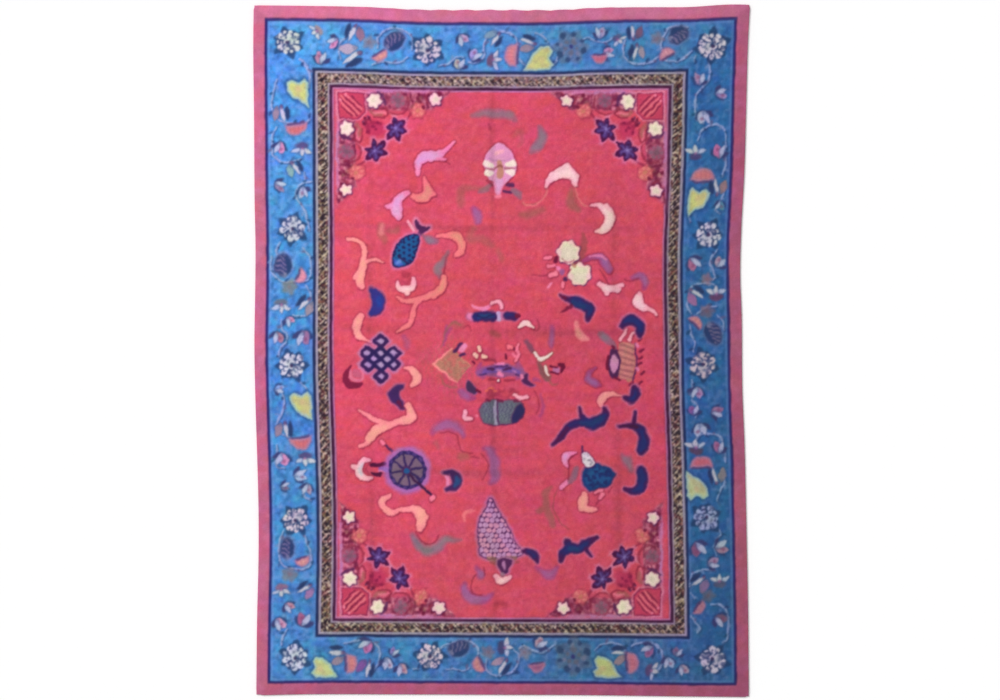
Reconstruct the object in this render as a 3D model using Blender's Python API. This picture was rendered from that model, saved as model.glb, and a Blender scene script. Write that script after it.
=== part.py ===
# Chinese art deco rug: a hand-knotted wool pile rug, lying flat.
#
# It is one piece of cloth, so it is one solid: the woven foundation with the
# pile standing on it, sheared level. Metres, +Z up. The origin is at the
# centre of the rug's bounding rectangle, on the underside. +X runs across the
# width and +Y runs along the length, towards the top of the design.
#
# A hand-woven rug is never a true rectangle. Each side is the straight side of
# the bounding rectangle, drawn in by an inset that changes along it.

import math

import bmesh
import bpy
from mathutils import Vector

RUG_WIDTH = 2.64        # X, between the widest points of the two sides
RUG_LENGTH = 3.68       # Y, between the furthest points of the two ends
FOUNDATION = 0.003      # cotton warps and wefts with the collars of the knots
PILE = 0.009            # wool standing on the foundation
PILE_ROUND = 0.005      # how far the sheared pile rounds over at its edge
ROUND_STEPS = 3         # facets of that round
CORNER_RADIUS = 0.014   # the four corners are slightly worn round
CORNER_STEPS = 4        # facets of a corner
OUTLINE_STEP = 0.04     # spacing of the points along a side
SCALLOP_DEPTH = 0.003   # the top end is pulled into small waves by its warps
SCALLOP_PITCH = 0.128   # length of one wave
SCALLOP_REACH = 0.75    # the waves fade out this far from the end's middle
WOOL_COLOUR = (0.67, 0.13, 0.19, 1.0)
WOOL_ROUGHNESS = 0.95

# Insets of the sides. The first column is the station: Y on the left and right
# sides, X on the top and bottom ends. The second is the inset, inwards.
LEFT_SIDE = [
    # Y      inset
    (-1.84, 0.016),
    (-1.45, 0.020),
    (-1.10, 0.028),
    (-0.80, 0.027),
    (-0.25, 0.011),
    (0.03, 0.006),
    (0.30, 0.010),
    (0.55, 0.012),
    (0.80, 0.007),
    (1.25, 0.004),
    (1.60, 0.000),
    (1.84, 0.002),
]
RIGHT_SIDE = [
    # Y      inset
    (-1.84, 0.006),
    (-1.38, 0.010),
    (-0.94, 0.019),
    (-0.50, 0.029),
    (-0.20, 0.041),
    (0.18, 0.044),
    (0.40, 0.052),
    (0.65, 0.046),
    (0.95, 0.030),
    (1.30, 0.020),
    (1.60, 0.012),
    (1.84, 0.000),
]
TOP_END = [
    # X      inset
    (-1.32, 0.004),
    (-1.10, 0.006),
    (-0.72, 0.013),
    (-0.45, 0.027),
    (0.00, 0.029),
    (0.30, 0.029),
    (0.52, 0.017),
    (0.80, 0.014),
    (1.00, 0.013),
    (1.20, 0.000),
    (1.32, 0.000),
]
BOTTOM_END = [
    # X      inset
    (-1.32, 0.009),
    (-1.00, 0.015),
    (-0.50, 0.014),
    (0.00, 0.012),
    (0.45, 0.010),
    (0.90, 0.004),
    (1.32, 0.000),
]


def clear_scene():
    for thing in list(bpy.data.objects):
        bpy.data.objects.remove(thing, do_unlink=True)


def inset_at(side, station):
    """The inset at a station: a smooth cubic through the side's rows."""
    station = min(max(station, side[0][0]), side[-1][0])
    row = 0
    while row < len(side) - 2 and station > side[row + 1][0]:
        row += 1
    before = side[max(row - 1, 0)]
    start = side[row]
    end = side[row + 1]
    after = side[min(row + 2, len(side) - 1)]
    span = end[0] - start[0]
    slope_start = (end[1] - before[1]) / (end[0] - before[0])
    slope_end = (after[1] - start[1]) / (after[0] - start[0])
    t = (station - start[0]) / span
    return (
        (2 * t**3 - 3 * t**2 + 1) * start[1]
        + (t**3 - 2 * t**2 + t) * span * slope_start
        + (3 * t**2 - 2 * t**3) * end[1]
        + (t**3 - t**2) * span * slope_end
    )


def left_x(y):
    return -RUG_WIDTH / 2 + inset_at(LEFT_SIDE, y)


def right_x(y):
    return RUG_WIDTH / 2 - inset_at(RIGHT_SIDE, y)


def bottom_y(x):
    return -RUG_LENGTH / 2 + inset_at(BOTTOM_END, x)


def top_y(x):
    fade = max(0.0, 1 - (x / SCALLOP_REACH) ** 2)
    wave = SCALLOP_DEPTH * math.cos(2 * math.pi * x / SCALLOP_PITCH)
    return RUG_LENGTH / 2 - inset_at(TOP_END, x) - fade * wave


def stations(start, end):
    """Evenly spaced stations from start up to, but not including, end."""
    count = max(1, round(abs(end - start) / OUTLINE_STEP))
    return [start + (end - start) * i / count for i in range(count)]


def corner(x, y, side_x, side_y):
    """The worn corner whose sharp point is (x, y), from one side to the next.

    side_x and side_y are +1 or -1 and say which corner it is.
    """
    centre_x = x - side_x * CORNER_RADIUS
    centre_y = y - side_y * CORNER_RADIUS
    middle = math.atan2(side_y, side_x)
    points = []
    for i in range(CORNER_STEPS):
        angle = middle - math.pi / 4 + math.pi / 2 * i / CORNER_STEPS
        points.append(
            Vector((
                centre_x + CORNER_RADIUS * math.cos(angle),
                centre_y + CORNER_RADIUS * math.sin(angle),
            ))
        )
    return points


def outline():
    """The rug's outline, anticlockwise seen from above, from the bottom left."""
    half_width = RUG_WIDTH / 2
    half_length = RUG_LENGTH / 2
    low_left = (left_x(-half_length), bottom_y(-half_width))
    low_right = (right_x(-half_length), bottom_y(half_width))
    high_right = (right_x(half_length), top_y(half_width))
    high_left = (left_x(half_length), top_y(-half_width))
    r = CORNER_RADIUS
    points = corner(*low_left, -1, -1)
    for x in stations(low_left[0] + r, low_right[0] - r):
        points.append(Vector((x, bottom_y(x))))
    points += corner(*low_right, 1, -1)
    for y in stations(low_right[1] + r, high_right[1] - r):
        points.append(Vector((right_x(y), y)))
    points += corner(*high_right, 1, 1)
    for x in stations(high_right[0] - r, high_left[0] + r):
        points.append(Vector((x, top_y(x))))
    points += corner(*high_left, -1, 1)
    for y in stations(high_left[1] - r, low_left[1] + r):
        points.append(Vector((left_x(y), y)))
    return points


def drawn_in(points, amount):
    """The outline moved inwards by an amount, square to itself."""
    count = len(points)
    moved = []
    for i, point in enumerate(points):
        along = (points[(i + 1) % count] - points[i - 1]).normalized()
        inward = Vector((-along.y, along.x))
        moved.append(point + inward * amount)
    return moved


def rim_profile():
    """(inset, height) rows up the edge: an upright side, then the pile's round."""
    top = FOUNDATION + PILE
    rows = [(0.0, 0.0)]
    for i in range(ROUND_STEPS + 1):
        angle = math.pi / 2 * i / ROUND_STEPS
        rows.append((
            PILE_ROUND * (1 - math.cos(angle)),
            top - PILE_ROUND + PILE_ROUND * math.sin(angle),
        ))
    return rows


def rug_mesh():
    points = outline()
    mesh = bmesh.new()
    rings = []
    for inset, height in rim_profile():
        ring = []
        for point in drawn_in(points, inset):
            ring.append(mesh.verts.new((point.x, point.y, height)))
        rings.append(ring)
    count = len(points)
    for low, high in zip(rings, rings[1:]):
        for i in range(count):
            following = (i + 1) % count
            mesh.faces.new((low[i], low[following], high[following], high[i]))
    mesh.faces.new(list(reversed(rings[0])))
    mesh.faces.new(rings[-1])
    bmesh.ops.triangulate(mesh, faces=mesh.faces)
    data = bpy.data.meshes.new("rug")
    mesh.to_mesh(data)
    mesh.free()
    return data


def wool():
    material = bpy.data.materials.new("wool_pile")
    material.use_nodes = True
    shader = material.node_tree.nodes["Principled BSDF"]
    shader.inputs["Base Color"].default_value = WOOL_COLOUR
    shader.inputs["Roughness"].default_value = WOOL_ROUGHNESS
    shader.inputs["Metallic"].default_value = 0.0
    return material


clear_scene()
rug = bpy.data.objects.new("rug", rug_mesh())
rug.data.materials.append(wool())
bpy.context.scene.collection.objects.link(rug)
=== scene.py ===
from math import atan2, copysign, cos, degrees, pi, radians, sin
from types import SimpleNamespace

import bpy
import numpy as np
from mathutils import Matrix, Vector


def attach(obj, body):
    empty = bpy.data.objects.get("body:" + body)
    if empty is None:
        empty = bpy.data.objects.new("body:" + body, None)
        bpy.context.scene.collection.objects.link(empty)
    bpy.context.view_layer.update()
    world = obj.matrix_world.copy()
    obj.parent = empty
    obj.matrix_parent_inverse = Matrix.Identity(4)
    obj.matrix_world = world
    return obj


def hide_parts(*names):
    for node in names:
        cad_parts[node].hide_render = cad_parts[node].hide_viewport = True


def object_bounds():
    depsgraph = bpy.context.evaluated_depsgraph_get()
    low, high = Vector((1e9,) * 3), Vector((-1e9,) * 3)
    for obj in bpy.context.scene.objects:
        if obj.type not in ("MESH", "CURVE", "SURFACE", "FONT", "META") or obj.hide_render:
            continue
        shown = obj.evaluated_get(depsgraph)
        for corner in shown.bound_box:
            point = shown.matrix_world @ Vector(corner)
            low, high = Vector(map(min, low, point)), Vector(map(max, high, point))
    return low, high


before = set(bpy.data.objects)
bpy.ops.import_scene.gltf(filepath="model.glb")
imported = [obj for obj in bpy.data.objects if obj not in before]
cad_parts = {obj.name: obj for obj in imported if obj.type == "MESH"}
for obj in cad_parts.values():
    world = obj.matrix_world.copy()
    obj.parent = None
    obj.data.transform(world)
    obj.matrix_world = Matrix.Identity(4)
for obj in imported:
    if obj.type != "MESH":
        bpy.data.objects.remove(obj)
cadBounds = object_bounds()
cadLow, cadHigh = [np.array(corner) for corner in cadBounds]
rugWidth = float(cadHigh[0] - cadLow[0])
rugLength = float(cadHigh[1] - cadLow[1])
halfWidth = rugWidth / 2
halfLength = rugLength / 2
rugTop = float(cadHigh[2])
print("frame loaded: rug", round(rugWidth, 3), "x", round(rugLength, 3), "m")


def fromSides(x, y):
    # How far a place lies from each of the rug's four sides.
    return {"left": halfWidth + x, "right": halfWidth - x, "bottom": halfLength + y, "top": halfLength - y}


def outlineSides():
    # The underside's rim, split into four sides: a rim point belongs to the side it lies nearest.
    # Each side is kept as its insets from the bounding rectangle, read at even stations along it and
    # parted in two: their running mean, and the quick waves that are left.
    stations, window = 241, 25
    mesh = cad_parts["rug"].data
    spots = np.zeros(len(mesh.vertices) * 3, np.float32)
    mesh.vertices.foreach_get("co", spots)
    spots = spots.reshape(-1, 3)
    rim = np.unique(spots[spots[:, 2] < 0.0001][:, :2], axis=0)
    x, y = rim[:, 0], rim[:, 1]
    gaps = fromSides(x, y)
    nearest = np.argmin(np.array(list(gaps.values())), axis=0)
    sides = {}
    for number, name in enumerate(gaps):
        own = nearest == number
        along = (y if name in ("left", "right") else x)[own]
        order = np.argsort(along)
        at = np.linspace(along.min(), along.max(), stations)
        inset = np.interp(at, along[order], gaps[name][own][order])
        padded = np.pad(inset, window // 2, mode="edge")
        slow = np.convolve(padded, np.ones(window) / window, mode="valid")
        sides[name] = (at, slow, inset - slow)
    return sides


sides = outlineSides()
quickReach = 0.045   # how far in from the edge its quick waves are felt, in metres


def trueToReal(x, y):
    # Each side pulls the knots in by its own inset. The slow part of the pull fades evenly to nothing at
    # the far side, and the quick part dies away near the edge as a bell curve's side.
    def pull(name, along, distance, span):
        at, slow, quick = sides[name]
        fade = np.exp(-(distance / quickReach) ** 2)
        return np.interp(along, at, slow) * (1 - distance / span) + np.interp(along, at, quick) * fade

    gaps = fromSides(x, y)
    left, right = [pull(side, y, gaps[side], rugWidth) for side in ("left", "right")]
    bottom, top = [pull(side, x, gaps[side], rugLength) for side in ("bottom", "top")]
    return x + left - right, y + bottom - top


# The knots: one grid point each, with its yarn colour and its height.

pile = {
    "across": 550,          # knots across the width
    "along": 766,           # knots along the length
    "foot": 0.003,         # height of the foundation that the knots stand on
    "edgeRound": 0.005,    # how far the pile rounds over at the rug's edges
    "rimSteps": 3,          # extra grid lines that follow that round
    "wallSlope": 0.0004,    # how far in the foot of the side wall stands
    "unevenness": 0.00022,  # knot-to-knot difference in height
    "groove": 0.0007,       # depth of the parting clipped round each figure
    "strips": 6,            # the pile is kept as this many meshes, one above the other
}


def gridLine(half, count):
    # Even knots, with a few closer lines at each end, spaced as the cosine of the rounding angle. The
    # end line comes twice: its second copy is the foot of the pile's side wall.
    angles = np.linspace(0, pi / 2, pile["rimSteps"] + 1)[:-1]
    rim = np.concatenate([[0.0], pile["edgeRound"] * (1 - np.cos(angles))])
    inner = np.linspace(-half + pile["edgeRound"], half - pile["edgeRound"], count)
    return np.concatenate([-half + rim, inner, (half - rim)[::-1]])


gridX = gridLine(halfWidth, pile["across"])
gridY = gridLine(halfLength, pile["along"])
wool = np.zeros((len(gridY), len(gridX), 3))
parting = np.zeros((len(gridY), len(gridX)))
knotX, knotY = np.meshgrid(gridX, gridY)
whole = SimpleNamespace(knots=(slice(None), slice(None)))

yarns = {                   # dyed colours as they look in even light, 0 to 255
    "field": (213, 75, 102),
    "rose": (186, 99, 133),
    "blue": (68, 128, 188),
    "navy": (42, 38, 104),
    "pale": (168, 158, 180),
    "guard": (54, 44, 52),
    "cream": (230, 220, 192),
    "ivory": (248, 222, 214),
    "tan": (192, 128, 108),
    "brown": (140, 74, 70),
    "olive": (146, 100, 84),
    "peach": (248, 154, 150),
    "salmon": (238, 122, 124),
    "orange": (236, 104, 92),
    "pink": (252, 136, 160),
    "blush": (251, 194, 202),
    "orchid": (228, 150, 194),
    "lilac": (190, 124, 176),
    "mauve": (164, 88, 142),
    "violet": (118, 84, 152),
    "grey": (150, 112, 134),
    "slate": (104, 100, 116),
    "teal": (32, 62, 108),
    "plum": (84, 34, 84),
    "maroon": (112, 18, 56),
    "wine": (138, 34, 62),
}


def mottle(cell, seed, stretch=1.0):
    # Smooth random patches about cell metres long, from -1 to 1: a coarse grid of random values,
    # eased between its points along each axis in turn.
    own = np.random.default_rng(seed)
    across = max(2, int(rugWidth / (cell * stretch)) + 2)
    along = max(2, int(rugLength / cell) + 2)
    coarse = own.uniform(-1, 1, (along, across))

    def ease(values, count, positions):
        place = positions * (count - 1)
        low = np.minimum(place.astype(int), count - 2)
        part = place - low
        part = part * part * (3 - 2 * part)
        return values[low] * (1 - part)[:, None] + values[low + 1] * part[:, None]

    tall = ease(coarse, along, (gridY + halfLength) / rugLength)
    return ease(tall.T, across, (gridX + halfWidth) / rugWidth).T


edgeSoftness = 0.0045   # a colour change eases over about one knot
realX, realY = trueToReal(knotX, knotY)


def wander(seed):
    # Hand knotting: outlines stray a few millimetres in slow and quick waves, and single knots a little.
    strays = np.random.default_rng(seed).uniform(-1, 1, knotX.shape)
    return 0.005 * mottle(0.05, seed + 1) + 0.0034 * mottle(0.02, seed + 2) + 0.0016 * strays


drawnX, drawnY = realX + wander(21), realY + wander(31)


def patch(lowX, lowY, highX, highY):
    # The knots in a box of real places, and a little round it, because the sides are pulled in.
    slack = 0.06
    columns = slice(*np.searchsorted(gridX, [lowX - slack, highX + slack]))
    rows = slice(*np.searchsorted(gridY, [lowY - slack, highY + slack]))
    return SimpleNamespace(knots=(rows, columns), x=drawnX[rows, columns], y=drawnY[rows, columns])


def spot(x, y, reach, turn=0.0, flip=1):
    # The knots within reach of a point, with their places as seen from it. turn is in degrees
    # anticlockwise; flip -1 mirrors left and right first.
    place = patch(x - reach, y - reach, x + reach, y + reach)
    angle = radians(turn)
    dx, dy = place.x - x, place.y - y
    place.x = (dx * cos(angle) + dy * sin(angle)) * flip
    place.y = dy * cos(angle) - dx * sin(angle)
    return place


both = np.maximum   # of two fields: below zero where both are


def seenFrom(place, a, b):
    # The same knots with their places measured from a point of the patch, in millimetres.
    return SimpleNamespace(knots=place.knots, x=place.x - a / 1000, y=place.y - b / 1000)


def flecks(place, cell, seed):
    # The same random patches, only for a patch's knots.
    return mottle(cell, seed)[place.knots]


def lay(place, field, yarn, strength=1.0, soft=edgeSoftness, groove=0.0):
    # Yarn goes in where the field is below zero.
    cover = np.clip(0.5 - field / soft, 0, 1) * strength
    colour = np.array(yarns[yarn] if isinstance(yarn, str) else yarn, float)
    knots = wool[place.knots]
    knots += (colour - knots) * cover[..., None]
    if groove:
        clipped = groove * np.exp(-(field / 0.006) ** 2)
        parting[place.knots] = np.maximum(parting[place.knots], clipped)


def smoothLine(rows, closed=False, fineness=0.004):
    # A cubic through the rows, each pulled by its neighbours on both sides.
    points = np.array(rows, float)
    if closed:
        ends = np.vstack([points[-1], points, points[:2]])
    else:
        ends = np.vstack([2 * points[0] - points[1], points, 2 * points[-1] - points[-2]])
    count = len(ends) - 3
    length = np.hypot(*np.diff(ends[1:-1, :2], axis=0).T).sum()
    place = np.linspace(0, count, max(6, int(length / fineness)))
    piece = np.minimum(place.astype(int), count - 1)
    part = (place - piece)[:, None]
    a, b, c, d = (ends[piece + i] for i in range(4))
    return 0.5 * (2 * b + (c - a) * part + (2 * a - 5 * b + 4 * c - d) * part**2
                  + (3 * b - a - 3 * c + d) * part**3)


def strokeAndWidth(place, rows):
    # Distance from a smooth line less its half width there, which changes along it, so that it is below
    # zero inside; and that half width.
    line = smoothLine(rows)
    gaps = np.hypot(place.x[..., None] - line[:, 0], place.y[..., None] - line[:, 1])
    gaps -= np.maximum(line[:, 2], 0.001)
    return gaps.min(-1), line[gaps.argmin(-1), 2]


def strokeField(place, rows):
    # The line's distance alone.
    return strokeAndWidth(place, rows)[0]


def petalField(place, turn, length, half, startX=0.0, startY=0.0):
    # A pointed petal from its base: the half width swells and shrinks as half a sine wave.
    angle = radians(turn)
    x, y = place.x - startX, place.y - startY
    along = x * sin(angle) - y * cos(angle)
    across = np.abs(x * cos(angle) + y * sin(angle))
    share = np.clip(along / length, 0, 1)
    field = across - half * np.sin(pi * share) ** 0.7
    return np.maximum(field, np.maximum(-along, along - length))


def shapeField(place, rows, smooth=True):
    # Distance from a closed outline, below zero inside it: inside is where a level line to the right
    # crosses the outline an odd number of times.
    outline = smoothLine(rows, closed=True)[:-1] if smooth else np.array(rows, float)
    x, y = place.x[..., None], place.y[..., None]
    x1, y1 = outline.T
    x2, y2 = np.roll(outline, -1, axis=0).T
    crossing = (y1 > y) != (y2 > y)
    rise = np.where(y2 == y1, 1e-9, y2 - y1)
    inside = (crossing & (x < x1 + (y - y1) * (x2 - x1) / rise)).sum(-1) % 2 == 1
    runX, runY = x2 - x1, y2 - y1
    part = np.clip(((x - x1) * runX + (y - y1) * runY) / np.maximum(runX**2 + runY**2, 1e-12), 0, 1)
    gap = np.hypot(x - x1 - part * runX, y - y1 - part * runY).min(-1)
    return np.where(inside, -gap, gap)


def flowerField(place, petals, radius, depth, turn=0.0):
    # A round flower: its radius swells and shrinks once for each petal.
    angle = np.arctan2(place.y, place.x) - radians(turn)
    edge = radius * (1 - depth * (0.5 - 0.5 * np.cos(petals * angle)))
    return np.hypot(place.x, place.y) - edge


def disc(place, radius, x=0.0, y=0.0):
    # Distance from a point, less the radius.
    return np.hypot(place.x - x, place.y - y) - radius


def box(place, halfAcross, halfAlong, x=0.0, y=0.0):
    # A level box: the greater of the two distances from its middle, each less its half size.
    return np.maximum(np.abs(place.x - x) - halfAcross, np.abs(place.y - y) - halfAlong)


def ringOfPetals(place, count, radius, half, turn=0.0, vary=0.0):
    # Round spots evenly round a circle: the angle is folded into one petal's share, so that one
    # distance serves them all. vary makes them unequal.
    share = 2 * pi / count
    part = ((np.arctan2(place.y, place.x) - radians(turn)) / share) % count
    fold = (part % 1 - 0.5) * share
    size = half * (1 + vary * np.sin(np.floor(part) * 2.4 + turn))
    return np.hypot(fold * radius, np.hypot(place.x, place.y) - radius) - size


def inMetres(rows):
    # Every number of the rows divided by 1000.
    return [tuple(value / 1000 for value in row) for row in rows]


def boxRound(rows, margin):
    # The knots from the rows' least place to their greatest, and a margin more all round.
    table = np.array([row[:2] for row in rows])
    low, high = table.min(0) - margin, table.max(0) + margin
    return patch(low[0], low[1], high[0], high[1])


ribbonShades = {
    # yarn: the yarn of a ribbon's thin tips, the yarn along its middle, its usual edge and halo
    "orchid": ((248, 122, 168), (226, 162, 210), None, None),
    "peach": ((252, 136, 148), (250, 164, 152), "wine", None),
    "salmon": ((248, 116, 132), (226, 142, 128), "wine", None),
    "blush": ((252, 160, 180), (252, 208, 212), "wine", None),
    "pink": ((250, 120, 152), (252, 162, 172), None, None),
    "navy": ((88, 14, 70), (36, 48, 112), "plum", "orchid"),
    "mauve": ((176, 56, 108), (158, 104, 160), None, None),
    "grey": ((164, 84, 108), (134, 122, 134), None, None),
}


def ribbon(yarn, *lines, edge=None, halo=None, strength=1.0, soft=edgeSoftness):
    # One figure of smooth lines. Each row is (x, y, half width) in millimetres from the rug's centre.
    # halo is a paler yarn round it, edge a darker outline whose extra strength along its lower right is
    # painted shade;
    # a full-strength ribbon has its yarn's usual ones unless another edge is named.
    shades = ribbonShades.get(yarn)
    if shades and strength == 1.0 and not edge:
        edge, halo = shades[2:]
    lines = [inMetres(line) for line in lines]
    place = boxRound(sum(lines, []), 0.06)
    parts = [strokeAndWidth(place, line) for line in lines]
    field = np.min([part[0] for part in parts], axis=0)
    half = np.max([np.where(part[0] < field + 0.001, part[1], 0) for part in parts], axis=0)
    figure(place, field, yarn, edge, halo, strength, soft)
    if shades:
        tip, middle = shades[:2]
        uneven = 0.01 * flecks(place, 0.045, 44)
        lay(place, field + 0.01 + uneven, middle, 0.8 * strength, 0.014)
        lay(place, np.maximum(field, half - 0.014 - 0.5 * uneven), tip, 0.8 * strength, 0.01)
        lay(place, np.maximum(field, np.abs(field + 0.004) - 0.004 + uneven), tip, 0.45 * strength, 0.008)


def faded(yarn, strength, *lines, **finish):
    # A ribbon that covers only that share of the wool under it.
    ribbon(yarn, *lines, strength=strength, **finish)


def shape(yarn, rows, edge=None, halo=None, strength=1.0, smooth=True, soft=edgeSoftness):
    # One figure with a closed outline, its rows (x, y) in millimetres from the rug's centre.
    rows = inMetres(rows)
    place = boxRound(rows, 0.03)
    field = shapeField(place, rows, smooth)
    figure(place, field, yarn, edge, halo, strength, soft)
    return place, field


def figure(place, field, yarn, edge=None, halo=None, strength=1.0, soft=edgeSoftness):
    # A field's own yarn over its halo and its edge, which are the same field grown by 11 and by 7.2 mm;
    # the edge is a woven outline, made strongest where the field's slope faces the lower right as painted
    # shade.
    if halo:
        lay(place, field - 0.011, halo, 0.62 * strength, 0.014)
    if edge:
        # painted shade: the outline keeps half its strength all round and is darkened most on the side facing
        # away from the upper-left light
        downhill, across = np.gradient(field)
        shadowSide = (0.6 * across - 0.8 * downhill) / np.maximum(np.hypot(across, downhill), 1e-9)
        lay(place, field - 0.0072, edge, (0.5 + 0.45 * np.clip(shadowSide, 0, 1)) * strength, 0.007)
    lay(place, field, yarn, strength, soft, groove=0.6 * strength)


def dot(yarn, x, y, radius, edge=None, strength=1.0):
    place = spot(x / 1000, y / 1000, radius / 1000 + 0.02)
    figure(place, disc(place, radius / 1000), yarn, edge, strength=strength)


bands = {
    # distance of each side's three dark lines from the rug's edge
    "left": (0.068, 0.322, 0.415),
    "right": (0.072, 0.322, 0.411),
    "top": (0.076, 0.339, 0.428),
    "bottom": (0.068, 0.314, 0.4),
    "nominal": (0.07, 0.324, 0.414),
}


def bandDepth():
    # How far in from the edge a knot is, with each side's own band widths evened out to the nominal
    # ones; the smallest of the four sides counts, so the bands mitre at the corners.
    nominal = np.array((0.0,) + bands["nominal"] + (1.5,))
    depths = []
    for name, distance in fromSides(knotX, knotY).items():
        own = np.array((0.0,) + bands[name] + (1.5 + bands[name][2] - nominal[3],))
        depths.append(np.interp(distance, own, nominal))
    return np.min(depths, axis=0) + 0.0012 * mottle(0.06, 41) + 0.0008 * mottle(0.02, 42)


def inBand(depth, outer, inner):
    # Below zero between two depths: how far from their middle, less half the band.
    return np.abs(depth - (outer + inner) / 2) - (inner - outer) / 2


def weaveBands():
    depth = bandDepth()
    order = [
        # yarn, outer edge, inner edge
        ("rose", -0.01, 0.062),
        ((40, 32, 100), 0.062, 0.077),
        ("blue", 0.077, 0.317),
        ((28, 38, 84), 0.317, 0.332),
        ("pale", 0.332, 0.345),
        ("guard", 0.345, 0.396),
        ((184, 162, 178), 0.396, 0.405),
        ((62, 16, 54), 0.405, 0.42),
        ("lilac", 0.42, 0.43),
        ("field", 0.43, 9.0),
    ]
    for yarn, outer, inner in order:
        lay(whole, inBand(depth, outer, inner), yarn, groove=float(inner - outer < 0.016))
    return depth


depth = weaveBands()
print("bands woven")


dyeLots = [
    # yarn, band from, band to (depths), patch size, seed, how rare, strength
    ((50, 150, 200), 0.078, 0.316, 0.05, 61, 0.05, 0.35),
    ((62, 92, 186), 0.078, 0.316, 0.034, 62, 0.15, 0.35),
    ((124, 156, 212), 0.078, 0.316, 0.021, 63, 0.35, 0.35),
    ((32, 82, 136), 0.078, 0.316, 0.018, 64, 0.3, 0.35),
    ((226, 92, 112), -0.02, 0.062, 0.06, 65, 0.1, 0.25),
    ((214, 134, 184), -0.02, 0.062, 0.031, 66, 0.25, 0.22),
    ((226, 80, 80), 0.43, 9.000, 0.05, 67, 0.1, 0.25),
    ((222, 84, 130), 0.43, 9.000, 0.036, 68, 0.1, 0.28),
    ((182, 56, 88), 0.43, 9.000, 0.016, 69, 0.35, 0.28),
    ((238, 110, 130), 0.43, 9.000, 0.013, 70, 0.4, 0.28),
]
blueSlope = {"across": -0.13, "along": 0.05}   # the blue is weaker towards the right and the bottom


sideLots = [
    # a lot used along one side only: yarn, band from, band to, way across, way along, strength
    ((222, 128, 164), 0.000, 0.062, 0, 1, 0.3),
    ((150, 62, 92), 0.000, 0.062, 1, 0, 0.22),
    ((150, 62, 92), 0.000, 0.062, 0, -1, 0.26),
    ((20, 92, 170), 0.078, 0.316, 1, 0, 0.3),
    ((96, 176, 226), 0.078, 0.316, 0, 1, 0.16),
]


def ofSide(across, along):
    # The knots that lie nearer to one of the four sides than to the other three.
    gapX, gapY = halfWidth - np.abs(knotX), halfLength - np.abs(knotY)
    return np.where(across, (gapX - gapY) + 9 * (knotX * across < 0), (gapY - gapX) + 9 * (knotY * along < 0))


def dyeGround(depth):
    # The wool was dyed in small lots: soft patches of related yarns lie in each band's ground.
    for yarn, outer, inner, size, seed, rare, strength in dyeLots:
        patches = 0.02 * (rare - mottle(size, seed))
        lay(whole, both(patches, inBand(depth, outer, inner)), yarn, strength, 0.016)
    for yarn, outer, inner, across, along, strength in sideLots:
        lay(whole, both(inBand(depth, outer, inner), ofSide(across, along)), yarn, strength, 0.03)
    streaks = both(0.02 * (0.2 - mottle(0.02, 75, 6.0)), 0.43 - depth)
    lay(whole, streaks, (232, 80, 84), 0.24, 0.02)
    inBlue = np.clip(0.5 + (0.119 - np.abs(depth - 0.197)) / 0.01, 0, 1)
    slope = blueSlope["across"] * knotX / halfWidth + blueSlope["along"] * knotY / halfLength
    wool[...] *= (1 + inBlue * slope)[..., None]


dyeGround(depth)


# The figures in the field. Every one stands by itself; places are millimetres from the rug's centre.

def budCanopy():
    faded("grey", 0.6, [(-60, 880, 12), (-95, 858, 19), (-122, 842, 9)])
    faded("grey", 0.7, [(60, 855, 14), (88, 836, 18), (98, 815, 8)])
    faded("plum", 0.9, [(28, 888, 9), (62, 884, 11)], [(14, 850, 8), (42, 845, 9)])
    faded("wine", 0.7, [(-84, 905, 6), (-48, 874, 6)])
    shape("orchid", [(-10, 1104), (44, 1068), (74, 1010), (76, 950), (40, 905), (-10, 890), (-60, 905),
                     (-92, 950), (-92, 1010), (-64, 1068)], edge="wine")
    ribbon("orchid", [(-15, 905, 32), (-18, 872, 24), (-18, 848, 18)])
    faded("blush", 0.6, [(-30, 1050, 8), (5, 1060, 8)], soft=0.012)
    for side in (-1, 1):
        ribbon("ivory", [(-10 + side * 72, 993, 19), (-10 + side * 42, 986, 12)])
        ribbon("ivory", [(-10 + side * 70, 944, 18), (-10 + side * 42, 947, 11)])
        faded("brown", 0.7, [(-10 + side * 82, 967, 3), (-10 + side * 34, 966, 4)])
    faded("lilac", 0.8, [(-68, 1020, 4), (-10, 1010, 4), (52, 1020, 4)])
    faded("tan", 0.9, [(-10, 1000, 15), (-5, 955, 20), (-10, 925, 13)])
    faded("brown", 0.8, [(-38, 972, 4), (-12, 982, 5), (8, 970, 5)])
    ribbon("pink", [(-32, 823, 8), (-6, 823, 8)])


def topClouds():
    faded("grey", 0.6, [(-155, 1250, 12), (-90, 1262, 22), (-20, 1260, 27), (40, 1250, 24), (72, 1222, 10)],
          soft=0.016)
    faded("wine", 0.4, [(-70, 1205, 7), (-62, 1180, 7)])
    faded("grey", 0.75,
          [(205, 1188, 12), (216, 1150, 26), (214, 1122, 29), (188, 1085, 27), (162, 1058, 15)], soft=0.014)
    faded("olive", 0.3, [(62, 1140, 9), (98, 1160, 14), (112, 1120, 10), (90, 1088, 7)], soft=0.02)
    faded("olive", 0.4, [(-80, 868, 8), (-150, 862, 14), (-205, 860, 22), (-215, 810, 20), (-215, 770, 14)],
          soft=0.02)
    faded("mauve", 0.7, [(-150, 752, 14), (-128, 725, 28), (-125, 690, 22)], soft=0.014)
    faded("olive", 0.35, [(-150, 650, 16), (-165, 600, 24), (-100, 590, 22), (-60, 560, 18)],
          [(-15, 530, 18), (0, 490, 14)], soft=0.022)


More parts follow.
